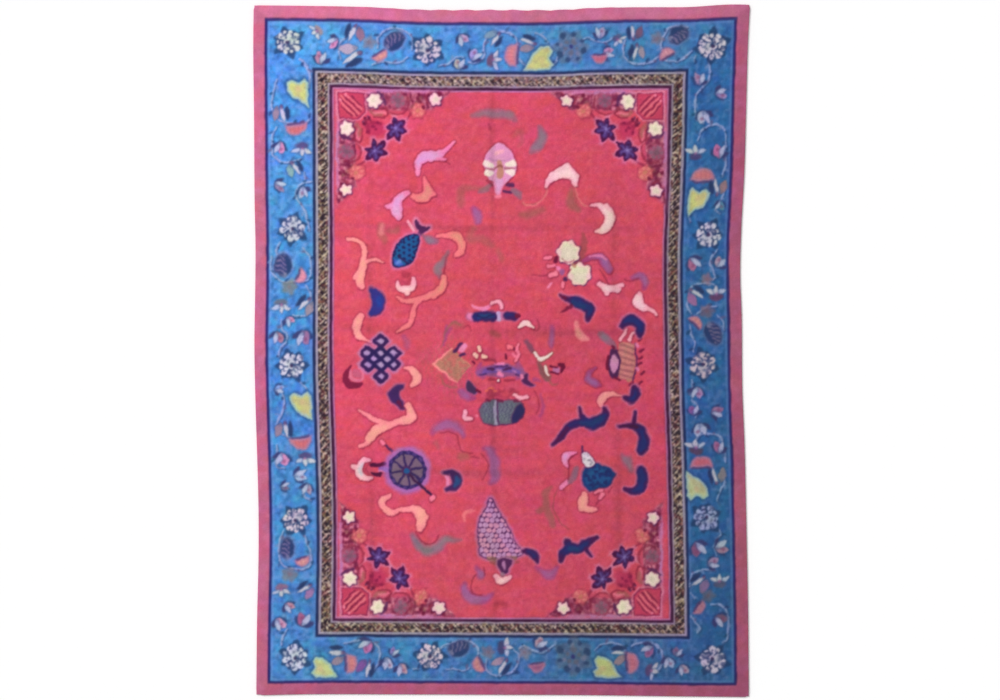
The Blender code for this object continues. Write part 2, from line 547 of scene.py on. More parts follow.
def upperLeftRibbons():
    ribbon("orchid", [(-252, 1112, 7), (-300, 1066, 12), (-350, 1040, 24), (-410, 1032, 30), (-446, 995, 19),
                      (-445, 940, 10)], [(-350, 1030, 16), (-300, 1018, 6)], edge="wine")
    faded("wine", 0.6, [(-300, 1010, 4), (-278, 994, 4)])
    ribbon("salmon", [(-408, 925, 5), (-400, 880, 15), (-392, 835, 32), (-430, 815, 26), (-478, 828, 12)],
           [(-400, 825, 26), (-362, 830, 12)])
    ribbon("orchid", [(-498, 844, 8), (-530, 824, 18), (-558, 784, 27), (-558, 742, 27), (-548, 708, 18)],
           [(-570, 765, 18), (-602, 762, 13)], edge="wine")
    faded("blush", 0.85, [(-494, 684, 7), (-478, 664, 9), (-470, 646, 7)])
    faded("olive", 0.45, [(-640, 660, 20), (-640, 620, 26), (-625, 585, 16)],
          [(-610, 640, 10), (-560, 640, 20)], soft=0.02)
    faded("peach", 0.45, [(-632, 665, 10), (-640, 630, 16)], soft=0.02)
    ribbon("peach", [(-820, 594, 6), (-780, 594, 9), (-742, 568, 11), (-728, 515, 13), (-736, 465, 18),
                     (-748, 410, 19), (-752, 370, 17), (-738, 334, 12)],
           [(-736, 462, 10), (-700, 480, 8), (-662, 482, 7), (-630, 470, 3)],
           [(-758, 406, 16), (-772, 388, 14)])
    ribbon("salmon", [(-338, 610, 10), (-290, 611, 15), (-240, 604, 26), (-216, 568, 22), (-216, 530, 20),
                      (-243, 511, 9)])
    faded("grey", 0.8, [(-402, 600, 16), (-375, 588, 24), (-350, 580, 16)], soft=0.012)
    faded("grey", 0.85, [(-285, 520, 7), (-312, 470, 20), (-340, 435, 24), (-330, 392, 13)], soft=0.012)
    faded("wine", 0.6, [(-285, 508, 4), (-300, 460, 4), (-306, 402, 7)])
    ribbon("salmon", [(-310, 385, 15), (-316, 340, 19), (-356, 300, 20), (-432, 272, 13), (-500, 264, 12),
                      (-552, 288, 5)],
           [(-440, 264, 13), (-466, 225, 12), (-480, 180, 12), (-490, 145, 11), (-532, 113, 7),
            (-556, 102, 3)])
    ribbon("blush", [(-556, 368, 6), (-545, 338, 14), (-505, 330, 17), (-468, 340, 15), (-464, 384, 6)],
           [(-500, 330, 16), (-500, 308, 13)])
    faded("wine", 0.45, [(-530, 372, 7), (-500, 362, 6), (-482, 378, 5)], [(-520, 405, 16), (-490, 400, 14)],
          soft=0.012)


def fish():
    ribbon("plum", [(-455, 692, 5), (-440, 660, 13), (-420, 645, 15), (-382, 652, 5)], halo="orchid")
    ribbon("plum", [(-425, 640, 12), (-448, 612, 16)])
    faded("grey", 0.8, [(-422, 618, 6), (-410, 602, 7)])
    body = [(-575, 452), (-586, 495), (-562, 560), (-520, 604), (-470, 628), (-440, 610), (-442, 552),
            (-458, 500), (-492, 458), (-535, 436)]
    place, field = shape((36, 30, 84), body, halo=(224, 130, 180))
    scallop = 0.006 * np.cos(np.arctan2(place.y - 0.53, place.x + 0.512) * 18)
    lay(place, field + 0.011 + scallop, (30, 92, 150))
    # scales: rows of dark half moons across the body, square to its length
    turn = radians(63)
    along = (place.x + 0.512) * cos(turn) + (place.y - 0.53) * sin(turn)
    across = (place.y - 0.53) * cos(turn) - (place.x + 0.512) * sin(turn)
    row = np.floor(along / 0.024)
    bead = np.hypot((across / 0.03 + 0.5 * (row % 2)) % 1 - 0.5, (along / 0.024) % 1 - 0.5)
    behindHead = both(field + 0.012, -0.055 - along)
    lay(place, both(behindHead, (bead - 0.27) * 0.024), (30, 20, 74), 0.95, 0.007)
    lay(place, both(field + 0.01, along + 0.066), (62, 92, 184), 0.95, 0.008)
    faded((112, 146, 218), 0.8, [(-556, 464, 9), (-538, 474, 12)], soft=0.01)
    faded((44, 20, 70), 0.8, [(-548, 500, 5), (-516, 478, 5), (-492, 462, 4)])


def leftRibbons():
    ribbon((52, 48, 132),
           [(-690, 320, 12), (-668, 298, 24), (-655, 262, 32), (-664, 222, 26), (-694, 194, 11)],
           edge="plum", halo="lilac")
    faded((34, 66, 150), 0.8, [(-652, 280, 12), (-648, 246, 14)], soft=0.016)
    ribbon("peach",
           [(-748, 184, 13), (-764, 150, 21), (-770, 112, 23), (-756, 78, 19), (-728, 58, 9), (-694, 46, 4)])
    faded("maroon", 0.85, [(-800, -84, 6), (-822, -110, 11), (-826, -150, 17), (-808, -180, 19),
                           (-768, -186, 15), (-742, -172, 7)])
    ring = [(34 * cos(radians(a)) - 772, 36 * sin(radians(a)) - 124, 8)
            for a in range(-200, 100, 30)]
    ribbon((222, 112, 142), ring)
    dot("rose", -772, -124, 24, strength=0.6)
    ribbon("peach", [(-512, -94, 7), (-478, -98, 14), (-458, -125, 23), (-452, -145, 23), (-466, -172, 16),
                     (-480, -186, 7)])
    ribbon((66, 34, 96), [(-530, -190, 9), (-558, -202, 15), (-572, -232, 27), (-556, -262, 21),
                          (-532, -288, 15), (-522, -300, 7)], edge="plum", halo="lilac")
    faded("maroon", 0.7, [(-545, -275, 14), (-526, -296, 9)])
    ribbon("peach", [(-496, -288, 14), (-482, -325, 21), (-484, -360, 25), (-535, -372, 16),
                     (-600, -386, 12), (-660, -372, 12), (-712, -345, 11), (-757, -318, 6)],
           [(-560, -384, 12), (-620, -402, 20), (-668, -425, 25), (-700, -462, 22), (-718, -492, 12),
            (-752, -513, 5)])
    faded("mauve", 0.35, [(-520, 78, 10), (-506, 42, 20), (-502, 8, 11)], soft=0.016)


def endlessKnot():
    # Cords on a slanting grid: with p and q counted along the two diagonals, the eyes between the
    # cords lie where both are odd, and a cord runs wherever an eye's square border is.
    place = spot(-0.642, -0.042, 0.17)
    across, upward = place.x / 0.0345, place.y / 0.031
    p, q = across + upward, across - upward
    eyes = [(1, 1), (1, -1), (-1, 1), (-1, -1), (3, -3), (-3, 3), (3, 1), (1, 3), (-1, -3), (-3, -1)]
    gaps = np.array([((p - a) ** 4 + (q - b) ** 4) ** 0.25 for a, b in eyes]).min(0)
    knot = 0.023
    lay(place, (gaps - 1.95) * knot, "lilac", 0.75, 0.012)
    lay(place, (gaps - 1.45) * knot, (58, 28, 84), groove=0.6)
    middle = np.hypot(p, q) - 3.0
    lay(place, both(gaps - 1.38, middle) * knot, (40, 28, 84), 0.8)
    lay(place, (gaps - 0.6) * knot, (178, 142, 192), soft=0.007)


def paintedScroll():
    # The pair of hanging pictures at the left of the middle group.
    corners = [(-362, -68), (-262, 12), (-160, -78), (-240, -172)]
    place, field = shape("tan", corners, smooth=False)
    grain = np.sin(place.x * 210 + 3 * np.sin(place.y * 90)) * np.sin(place.y * 190)
    lay(place, both(field + 0.008, 0.15 - grain), "olive", 0.7, 0.3)
    fleck = 0.012 * (0.25 - flecks(place, 0.016, 83))
    lay(place, both(field + 0.006, fleck), (214, 96, 96), 0.5, 0.008)
    ribbon((252, 142, 142), [(-262, 12, 4), (-312, -28, 5), (-364, -68, 6)],
           [(-364, -68, 6), (-300, -120, 5), (-240, -170, 4)])
    faded((244, 132, 122), 0.7, [(-228, -20, 3), (-160, -80, 3)])
    ribbon("plum", [(-245, -2, 10), (-226, 20, 12), (-210, 36, 7)], [(-218, -26, 7), (-200, -16, 7)])
    faded("orchid", 0.75, [(-212, 2, 12), (-192, 26, 14)])
    faded("mauve", 0.45, [(-288, 132, 6), (-298, 84, 8), (-312, 34, 5)])
    faded("olive", 0.3, [(-255, 140, 14), (-210, 130, 18)], soft=0.02)


def scrollTube():
    faded("lilac", 0.75, [(-172, 183, 20), (-60, 183, 27), (70, 183, 24)], soft=0.014)
    ribbon("orchid", [(-168, 186, 14), (-156, 184, 18)])
    ribbon("navy", [(-134, 184, 21), (-88, 183, 24), (-46, 182, 23)], edge="plum")
    faded((36, 70, 120), 0.85, [(-118, 184, 12), (-60, 184, 13)], soft=0.008)
    faded((34, 26, 80), 0.8, [(-132, 190, 4), (-90, 176, 4), (-50, 188, 4)])
    ribbon((196, 164, 206), [(-16, 202, 10), (-12, 166, 11)])
    ribbon("navy", [(32, 186, 19), (62, 183, 17)], edge="plum")
    ribbon("maroon", [(80, 187, 12), (92, 190, 9)])
    ribbon("orchid", [(-156, 241, 6), (-122, 229, 8), (-92, 222, 12), (-62, 240, 7)])
    ribbon("blush", [(-52, 252, 9), (-18, 263, 10), (0, 244, 9), (0, 230, 6)])
    ribbon((252, 208, 204), [(94, 128, 9), (128, 150, 15), (170, 124, 8)], edge="wine")
    faded("brown", 0.5, [(-52, 96, 14), (-16, 82, 16)], soft=0.016)
    faded("mauve", 0.65, [(272, 122, 12), (266, 72, 17), (262, 28, 15)], soft=0.014)


def lotusStand():
    faded("mauve", 0.7, [(-112, -70, 10), (-118, -108, 16), (-92, -138, 13)],
          [(88, -68, 12), (98, -108, 16), (82, -142, 11)], soft=0.012)
    faded((140, 84, 138), 0.8,
          [(-118, -118, 16), (-60, -104, 30), (0, -102, 38), (60, -104, 29), (112, -122, 18)], soft=0.012)
    faded((112, 78, 158), 0.85,
          [(-92, -116, 10), (-50, -100, 17), (0, -92, 20), (50, -98, 16), (88, -112, 9)], soft=0.01)
    ribbon("plum", [(-70, -98, 8), (-46, -94, 9)], [(8, -100, 6), (46, -88, 7)],
           [(-34, -84, 4), (30, -80, 4)])
    faded((58, 26, 84), 0.8, [(-112, -128, 4), (-80, -124, 4)], [(72, -124, 4), (104, -130, 4)])
    faded("lilac", 0.8, [(-24, -100, 7), (-6, -106, 7)], [(58, -104, 6), (72, -110, 6)])
    ribbon("orchid", [(-18, -118, 9), (2, -126, 7)], [(-30, -66, 7), (10, -64, 6)])
    dot("ivory", -15, -155, 8, edge="maroon")
    faded("wine", 0.6, [(-60, -148, 8), (-38, -152, 8)], [(20, -156, 8), (66, -154, 7)])
    for x, y, run, rise, half in [(-115, 16, 2, -14, 11), (-143, -24, 12, -5, 9), (-94, -26, 11, -6, 11)]:
        ribbon((250, 196, 174), [(x, y, half), (x + run, y + rise, half)], edge="wine")
    ribbon("salmon", [(33, 20, 9), (51, 18, 9)])
    ribbon("pink", [(90, 30, 7), (84, 8, 7), (92, -20, 9), (80, -50, 8)], edge="wine")
    faded("pink", 0.6, [(60, -16, 7), (72, -30, 8)])
    ribbon("maroon", [(20, -16, 6), (22, -40, 7)], [(66, 14, 6), (70, 4, 5)],
           [(-152, -54, 6), (-144, -60, 5)])
    faded((114, 70, 98), 0.75, [(132, 48, 12), (154, 18, 14), (168, -10, 9)], soft=0.01)
    faded("wine", 0.55, [(-90, -48, 7), (-40, -46, 8), (-30, -60, 6)])


def birdAndRing():
    faded((118, 84, 84), 0.75, [(196, -60, 8), (214, -104, 16), (238, -146, 20)], soft=0.012)
    ribbon("ivory", [(176, -12, 8), (200, -38, 10), (230, -36, 9), (264, -12, 6)], edge="brown")
    ribbon("ivory", [(231, -82, 7), (237, -105, 8), (250, -132, 6)], edge="brown")
    dot("lilac", 288, -100, 18, strength=0.8)
    ribbon("maroon", [(262, -82, 8), (288, -86, 6)], [(304, -70, 10), (326, -84, 13), (316, -106, 9)],
           [(264, -114, 6), (300, -121, 6)])
    ribbon("plum", [(128, -126, 10), (124, -152, 16), (144, -170, 12), (168, -178, 6)], edge="mauve")
    faded("orchid", 0.8, [(102, -128, 8), (108, -140, 7)])
    faded("mauve", 0.5, [(176, -150, 12), (200, -160, 8)])


def barrelAndButterfly():
    faded("mauve", 0.75, [(-215, -218, 18), (-182, -244, 21), (-150, -252, 11)], soft=0.012)
    ribbon((72, 44, 84), [(-176, -172, 10), (-168, -198, 21), (-150, -216, 14)], edge="mauve")
    ribbon("maroon", [(-136, -210, 8), (-114, -222, 8)])
    faded("wine", 0.35, [(-60, -228, 18), (-10, -226, 18)], [(42, -214, 7), (60, -212, 6)], soft=0.02)
    muddle = patch(-0.105, -0.262, 0.11, -0.192)
    region = box(muddle, 0.09, 0.03, 0, -0.228)
    lay(muddle, both(region, 0.012 * (np.abs(flecks(muddle, 0.03, 84)) - 0.14)), "wine", 0.6, 0.008)
    ribbon("orange", [(-66, -202, 5), (-46, -199, 7)], [(-36, -214, 7), (-28, -216, 6)],
           [(-82, -218, 5), (-74, -214, 5)])
    shape("slate", [(-118, -330), (-98, -284), (-50, -264), (60, -266), (104, -272), (122, -312),
                    (100, -352), (66, -388), (-20, -392), (-72, -388), (-104, -366)], edge="plum")
    barrel = patch(-0.11, -0.385, 0.095, -0.268)
    hatch = np.sin(barrel.x * 330 + 2 * np.sin(barrel.y * 120)) * np.sin(barrel.y * 300)
    inside = box(barrel, 0.088, 0.048, -0.012, -0.327)
    lay(barrel, both(inside, 0.01 * (0.15 - hatch)), (124, 140, 142), 0.7, 0.01)
    lay(barrel, both(inside, 0.01 * (0.35 + hatch)), (70, 76, 104), 0.7, 0.01)
    faded("maroon", 0.7, [(-84, -262, 7), (-66, -268, 8)], [(-20, -262, 8), (8, -266, 8)],
          [(66, -270, 6), (88, -268, 6)])
    shape((46, 40, 92),
          [(56, -376), (64, -330), (92, -292), (112, -286), (120, -316), (98, -354), (72, -384)],
          edge="plum")
    faded("plum", 0.8, [(-18, -274, 5), (-24, -330, 5), (-18, -386, 5)])
    ribbon("pale", [(-30, -272, 7), (-38, -330, 8), (-34, -386, 7)])
    ribbon("blush", [(66, -236, 7), (96, -250, 11), (136, -242, 7)])
    ribbon("blush", [(-195, -322, 10), (-194, -354, 11), (-162, -360, 9)])
    dot("pink", -136, -346, 8, strength=0.8)


def upperRightRibbons():
    faded("olive", 0.5,
          [(108, 790, 4), (130, 776, 6), (170, 776, 7), (212, 800, 5), (236, 832, 5), (243, 868, 4)],
          [(392, 868, 4), (396, 822, 5), (418, 790, 5), (440, 770, 4), (480, 764, 4)])
    faded("salmon", 0.7,
          [(108, 792, 3), (134, 774, 4), (176, 774, 4), (214, 798, 4), (240, 838, 4), (246, 872, 3)],
          [(396, 866, 3), (400, 820, 4), (424, 786, 4), (446, 768, 3), (484, 768, 3)])
    faded("olive", 0.55, [(372, 862, 8), (368, 812, 20), (374, 776, 22), (410, 748, 12)], soft=0.02)
    faded("olive", 0.45, [(100, 722, 10), (150, 728, 20), (215, 752, 16)], soft=0.024)
    ribbon("blush",
           [(241, 874, 9), (256, 905, 18), (292, 931, 27), (340, 950, 35), (380, 925, 24), (395, 886, 13)],
           [(340, 955, 28), (350, 976, 22)], [(386, 915, 20), (392, 930, 16)],
           [(262, 904, 14), (258, 912, 12)])
    ribbon("blush", [(478, 768, 6), (520, 768, 14), (560, 744, 24), (574, 706, 27), (562, 668, 26),
                     (536, 640, 17), (506, 636, 8)], [(572, 724, 18), (594, 712, 10)],
           [(540, 760, 12), (560, 770, 12)])
    faded("brown", 0.6, [(430, 620, 7), (440, 572, 17), (422, 505, 24), (402, 462, 18)], soft=0.012)
    faded("mauve", 0.85, [(440, 480, 9), (480, 496, 15), (520, 498, 20), (548, 470, 26), (574, 430, 20)],
          edge="wine")
    faded("orchid", 0.6, [(470, 500, 5), (520, 505, 7), (552, 484, 6)])
    faded("wine", 0.6, [(520, 430, 4), (554, 382, 5), (570, 350, 4)])
    ribbon("blush", [(520, 356, 13), (560, 331, 21), (600, 331, 13), (636, 346, 12)],
           [(560, 330, 16), (562, 312, 14)], [(590, 330, 12), (618, 322, 14)])
    faded("mauve", 0.7, [(700, 390, 14), (740, 396, 23), (766, 362, 21), (760, 330, 8)], soft=0.012)
    faded("wine", 0.6, [(650, 376, 4), (690, 372, 5), (722, 382, 4)], [(520, 372, 4), (548, 358, 4)])
    ribbon("blush",
           [(736, 302, 11), (725, 270, 28), (742, 240, 22), (780, 226, 12), (806, 206, 8), (822, 184, 4)])
    ribbon("navy", [(308, 295, 4), (345, 274, 10), (394, 262, 24), (440, 242, 26), (470, 222, 22),
                    (462, 192, 16), (454, 168, 10)])
    faded("maroon", 0.8, [(306, 296, 4), (338, 278, 8)], [(318, 204, 4), (342, 224, 9), (372, 240, 12)])
    faded("teal", 0.7, [(380, 258, 10), (430, 238, 12)], soft=0.012)
    faded("wine", 0.5, [(160, 406, 4), (200, 398, 5), (236, 402, 5), (262, 422, 4)])


def blossoms():
    flowers = [
        # x, y, radius, turn, which petals are pink
        (355, 522, 66, 20, (1, 3, 5)),
        (416, 408, 64, -15, (0, 2, 4)),
    ]
    for x, y, radius, turn, tinted in flowers:
        place = spot(x / 1000, y / 1000, 0.1, turn)
        bloom = flowerField(place, 7, radius / 1000, 0.16)
        figure(place, bloom, (250, 206, 192), edge="plum")
        lay(place, bloom + 0.01 + 0.005 * flecks(place, 0.025, 78), (226, 218, 188), 0.9, 0.014)
        lay(place, ringOfPetals(place, 7, radius / 1800, 0.006, 20, 0.5), (206, 202, 168), 0.7, 0.012)
        for petal in tinted:
            angle = 2 * pi * petal / 7
            far = radius / 1000 * 0.8
            tip = np.hypot(place.x - far * cos(angle), place.y - far * sin(angle)) - 0.015
            lay(place, tip, "blush", 0.6, 0.012)
    faded("tan", 0.8, [(378, 462, 7), (392, 448, 7)])
    faded("wine", 0.6, [(322, 490, 3), (356, 470, 4), (384, 482, 3)], [(372, 436, 3), (352, 408, 4)])
    ribbon("pink", [(232, 494, 7), (262, 497, 9)], [(250, 455, 8), (280, 450, 8)], edge="wine")
    ribbon("maroon", [(290, 498, 8), (287, 474, 9)])
    ribbon("orchid", [(300, 440, 10), (303, 430, 10)])
    dot("mauve", 322, 416, 15)
    ribbon("pink", [(258, 402, 13), (284, 408, 14)], edge="wine")
    dot("plum", 340, 378, 13)
    ribbon("pink", [(326, 356, 8), (324, 336, 9)], edge="wine")
    faded("orchid", 0.7, [(262, 360, 6), (246, 340, 7)])


def drum():
    faded("tan", 0.9, [(636, 28, 16), (642, -50, 24), (636, -132, 16)],
          [(676, 20, 24), (682, -60, 26), (676, -140, 24)])
    place = patch(0.6, -0.165, 0.712, 0.055)
    ribs = np.sin(2 * pi * (place.y + 0.3 * (place.x - 0.66)) / 0.031)
    body = box(place, 0.04, 0.095, 0.664, -0.055)
    lay(place, body, (196, 116, 116), 0.85, 0.01)
    lay(place, both(body, 0.012 * (0.35 - ribs)), (226, 138, 134), 0.7, 0.008)
    lay(place, both(body, 0.012 * (0.82 + ribs)), (128, 62, 84), 0.65, 0.008)
    grain = np.sin(place.x * 420) * 0.5 + flecks(place, 0.016, 58)
    lay(place, both(body, 0.01 * (0.6 - grain)), (166, 130, 116), 0.55, 0.008)
    faded("plum", 0.9, [(706, 40, 4), (716, -30, 5), (712, -110, 5), (700, -158, 4)])
    head = spot(0.598, -0.066, 0.11)
    oval = (np.hypot(head.x / 0.034, head.y / 0.08) - 1) * 0.034
    lay(head, oval, "plum", groove=0.5)
    lay(head, oval + 0.013, "orchid", 0.95)
    ribbon("maroon", [(566, -30, 6), (560, -62, 8), (566, -98, 6)], [(600, -138, 5), (622, -152, 5)])
    for x, y in [(732, 60), (748, 4), (738, -36), (732, -66), (748, -120), (736, -172), (690, -174)]:
        faded("maroon", 0.85, [(x - 8, y - 6, 7), (x + 8, y + 6, 6)])
    ribbon("blush", [(628, 56, 9), (648, 88, 8), (662, 112, 3)], [(674, 58, 9), (690, 84, 7), (701, 98, 3)])
    faded("orchid", 0.7, [(714, 34, 8), (722, 22, 6)], [(716, -94, 7), (724, -104, 6)])


def rightRibbons():
    faded("peach", 0.7, [(398, 152, 10), (405, 102, 20), (430, 72, 17), (460, 62, 8)], soft=0.01)
    ribbon("navy", [(637, 127, 11), (664, 158, 20), (702, 165, 24), (734, 132, 24), (728, 90, 15)])
    faded("grey", 0.8, [(518, 92, 9), (548, 68, 21), (584, 36, 15), (600, 16, 9)], soft=0.01)
    ribbon("maroon", [(584, 24, 6), (598, 12, 6)])
    faded("mauve", 0.8, [(500, -96, 7), (472, -112, 13), (462, -148, 20), (488, -166, 23), (522, -180, 9)],
          edge="wine")
    ribbon("peach", [(630, -240, 4), (590, -231, 14), (550, -236, 21), (530, -264, 21), (530, -292, 11)])
    ribbon("navy", [(655, -252, 10), (688, -256, 19), (708, -226, 23), (705, -194, 11)])


def navySwoosh():
    ribbon("navy", [(414, -302, 5), (418, -334, 11), (448, -374, 22), (490, -386, 30), (532, -362, 23),
                    (552, -332, 14), (550, -308, 7)],
           [(448, -376, 20), (398, -384, 18), (352, -412, 17), (318, -454, 15), (292, -484, 9),
            (263, -502, 4)])
    faded((84, 18, 70), 0.7, [(352, -414, 11), (318, -456, 9), (292, -484, 6)],
          [(416, -312, 5), (420, -334, 7)])
    faded("teal", 0.6, [(420, -380, 9), (480, -386, 17), (524, -362, 10)], soft=0.014)
    ribbon("navy", [(707, -322, 5), (705, -352, 8), (696, -392, 11)],
           [(626, -402, 6), (676, -396, 11), (722, -410, 18), (752, -448, 22), (756, -500, 27),
            (736, -534, 17)])
    faded((72, 20, 58), 0.8, [(630, -402, 4), (680, -397, 7), (716, -408, 9)])
    faded("grey", 0.65, [(644, -556, 12), (668, -586, 24), (690, -632, 14)], soft=0.02)
    ribbon("navy", [(742, -636, 23), (748, -684, 28), (736, -724, 25), (696, -748, 16), (654, -738, 7)])
    ribbon("orchid", [(392, -544, 6), (358, -552, 14), (336, -572, 19), (342, -600, 12), (350, -618, 5)],
           [(350, -694, 11), (318, -724, 12)], edge="wine")
    faded("grey", 0.8, [(396, -628, 14), (388, -664, 18), (360, -694, 13)], soft=0.01)
    faded("wine", 0.7, [(402, -552, 3), (366, -576, 4), (360, -632, 4), (352, -684, 4)])


def vase():
    place, body = shape((26, 58, 122), [(438, -622), (470, -606), (512, -596), (566, -624), (602, -654),
                                        (568, -712), (516, -736), (466, -740), (440, -714), (430, -668)],
                        edge="plum", halo="orchid", smooth=False)
    weave = flecks(place, 0.012, 76)
    lay(place, both(body + 0.014, 0.01 * (0.1 - weave)), (40, 98, 156), 0.6, 0.008)
    lay(place, both(body + 0.01, 0.01 * (0.3 + weave)), (34, 32, 96), 0.6, 0.008)
    place, cap = shape((236, 222, 228),
                       [(428, -548), (458, -542), (494, -584), (488, -606), (450, -614), (430, -590)],
                       edge="plum")
    lay(place, both(cap + 0.008, 0.01 * (0.3 - flecks(place, 0.012, 77))), (120, 112, 122), 0.7, 0.007)
    faded("plum", 0.9, [(426, -508, 5), (432, -540, 6)])
    ribbon("peach", [(441, -764, 15), (430, -800, 24), (426, -832, 20)],
           [(432, -828, 20), (464, -840, 17), (502, -838, 11)])
    ribbon("pink", [(500, -756, 8), (530, -745, 7)], [(520, -788, 7), (536, -764, 8)], edge="wine")
    faded("olive", 0.55,
          [(262, -725, 7), (236, -760, 17), (234, -812, 20), (250, -870, 20), (268, -925, 18)],
          [(232, -822, 12), (200, -850, 16)], soft=0.014)
    faded("wine", 0.6, [(520, -800, 4), (506, -812, 5)], [(566, -748, 4), (586, -720, 4)])
    faded("brown", 0.6, [(296, -736, 3), (276, -790, 4), (280, -850, 4), (310, -908, 4), (360, -945, 3)])


def wheel():
    faded("orchid", 0.8, [(-640, -635, 12), (-612, -636, 12)])
    faded("plum", 0.9, [(-618, -498, 7), (-582, -532, 7)])
    ribbon("pink", [(-640, -480, 8), (-628, -490, 9)], [(-376, -790, 11), (-364, -776, 11)], edge="wine")
    faded((132, 88, 178), 0.8, [(-640, -622, 12), (-612, -636, 13)], soft=0.008)
    ribbon((84, 14, 58), [(-690, -607, 9), (-626, -604, 11)], [(-684, -652, 8), (-646, -656, 12)])
    place = spot(-0.502, -0.635, 0.145)
    radius = np.hypot(place.x, place.y)
    angle = np.arctan2(place.y, place.x)
    lay(place, radius - 0.126, (166, 112, 192), 0.8, 0.024)
    lay(place, radius - 0.101, (46, 32, 92), groove=0.6)
    lay(place, radius - 0.082, (132, 104, 122), 0.9)
    spoke = np.abs(np.sin(4 * (angle - 0.2))) * radius / 4 - 0.0055
    lay(place, both(spoke, radius - 0.09), (54, 34, 88))
    rim = both(np.abs(radius - 0.092) - 0.004, 0.011 * (np.sin(16 * angle) - 0.2))
    lay(place, rim, "violet", 0.6)
    faded((58, 20, 66), 0.95, [(-490, -655, 5), (-440, -705, 8), (-376, -764, 8)])
    lay(place, radius - 0.024, "plum")
    lay(place, radius - 0.016, (30, 92, 150), 0.9)
    ribbon("blush", [(-700, -584, 9), (-736, -586, 16), (-756, -622, 20), (-750, -660, 18), (-716, -681, 13),
                     (-688, -675, 6)], [(-760, -618, 14), (-787, -614, 13)])
    faded((208, 200, 212), 0.8, [(-738, -602, 6), (-750, -630, 9), (-742, -658, 6)], soft=0.008)
    faded("wine", 0.5, [(-700, -600, 4), (-718, -632, 4), (-702, -660, 4)])


def lowerLeftRibbons():
    ribbon((70, 32, 88),
           [(-300, -650, 8), (-268, -648, 16), (-240, -682, 25), (-248, -720, 19), (-292, -736, 9)],
           edge="plum", halo="orchid")
    faded("orchid", 0.8, [(-290, -676, 8), (-286, -706, 9)])
    faded((38, 80, 132), 0.85, [(-244, -670, 8), (-232, -694, 15), (-250, -722, 9)], soft=0.012)
    faded("mauve", 0.65,
          [(-370, -436, 12), (-330, -404, 27), (-276, -392, 31), (-226, -414, 25), (-206, -452, 12)],
          soft=0.02)
    faded("wine", 0.6, [(-330, -440, 4), (-270, -430, 4), (-236, -460, 4), (-214, -528, 4), (-150, -542, 4)])
    faded("olive", 0.4, [(-352, -490, 12), (-338, -515, 10)], [(-215, -560, 20), (-185, -560, 18)],
          soft=0.02)
    faded("mauve", 0.65, [(-96, -520, 9), (-66, -526, 22), (-44, -566, 29), (-36, -620, 33), (-34, -672, 27),
                          (-58, -704, 12)], soft=0.02)
    faded("wine", 0.55, [(-110, -546, 4), (-74, -590, 4), (-76, -648, 4), (-100, -686, 4)],
          [(-160, -560, 4), (-120, -565, 4)])
    ribbon("peach", [(-594, -768, 8), (-630, -792, 18), (-631, -824, 15), (-600, -858, 18), (-558, -862, 8)],
           [(-572, -856, 6), (-520, -842, 12), (-468, -842, 19), (-428, -868, 29), (-424, -910, 23),
            (-436, -952, 13)], [(-425, -880, 20), (-398, -882, 14)])
    faded("salmon", 0.7, [(-194, -902, 5), (-200, -868, 9), (-176, -850, 9), (-146, -846, 5)])
    faded("grey", 0.72, [(-472, -986, 15), (-440, -1036, 27), (-390, -1060, 31), (-338, -1040, 29),
                         (-304, -1006, 24), (-256, -1006, 15), (-214, -1000, 6)], soft=0.018)
    faded("slate", 0.35, [(-452, -1012, 8), (-410, -1056, 12), (-366, -1056, 10)], soft=0.014)
    faded("wine", 0.7,
          [(-456, -968, 3), (-430, -1006, 4), (-394, -1026, 4), (-354, -1010, 4), (-336, -976, 3)])


def beadedCone():
    cone = [(-60, -778), (-82, -820), (-112, -880), (-126, -950), (-126, -1040), (-112, -1096), (-20, -1108),
            (84, -1096), (112, -1074), (82, -1020), (50, -960), (12, -890), (-28, -820)]
    place, field = shape("plum", cone, halo="lilac")
    tier = np.floor((place.y + 1.1) / 0.027)
    across = (place.x + 0.003 * tier) / 0.027 + 0.5 * (tier % 2)
    bead = np.hypot((across % 1 - 0.5) * 0.027, ((place.y + 1.1) / 0.027 % 1 - 0.5) * 0.027) - 0.0128
    bead = both(bead + 0.002 * np.sin(np.floor(across) * 2.4 + tier), field + 0.006)
    lay(place, bead, (216, 160, 204), 0.95, 0.006)
    warm = np.where(np.sin(np.floor(across) * 1.9 + tier * 0.8) > 0.15, bead, 1.0)
    lay(place, warm, (232, 150, 182), 0.8, 0.006)
    lay(place, bead + 0.009, (152, 92, 150), 0.5, 0.006)
    faded("olive", 0.7, [(-70, -1100, 12), (0, -1114, 14), (70, -1100, 12)])
    faded("brown", 0.6, [(-62, -1124, 7), (0, -1130, 8), (84, -1122, 7)])
    shape("plum",
          [(-18, -1112), (20, -1106), (54, -1116), (44, -1150), (34, -1178), (-4, -1176), (-14, -1148)],
          halo="lilac")
    faded("lilac", 0.9, [(14, -1124, 9), (18, -1156, 8)])
    dot("grey", 6, -1192, 17, strength=0.8)
    ribbon("blush", [(-36, -1198, 9), (0, -1222, 17), (46, -1200, 9)])
    ribbon("navy", [(114, -1065, 9), (150, -1072, 18), (178, -1092, 18), (186, -1118, 7)])


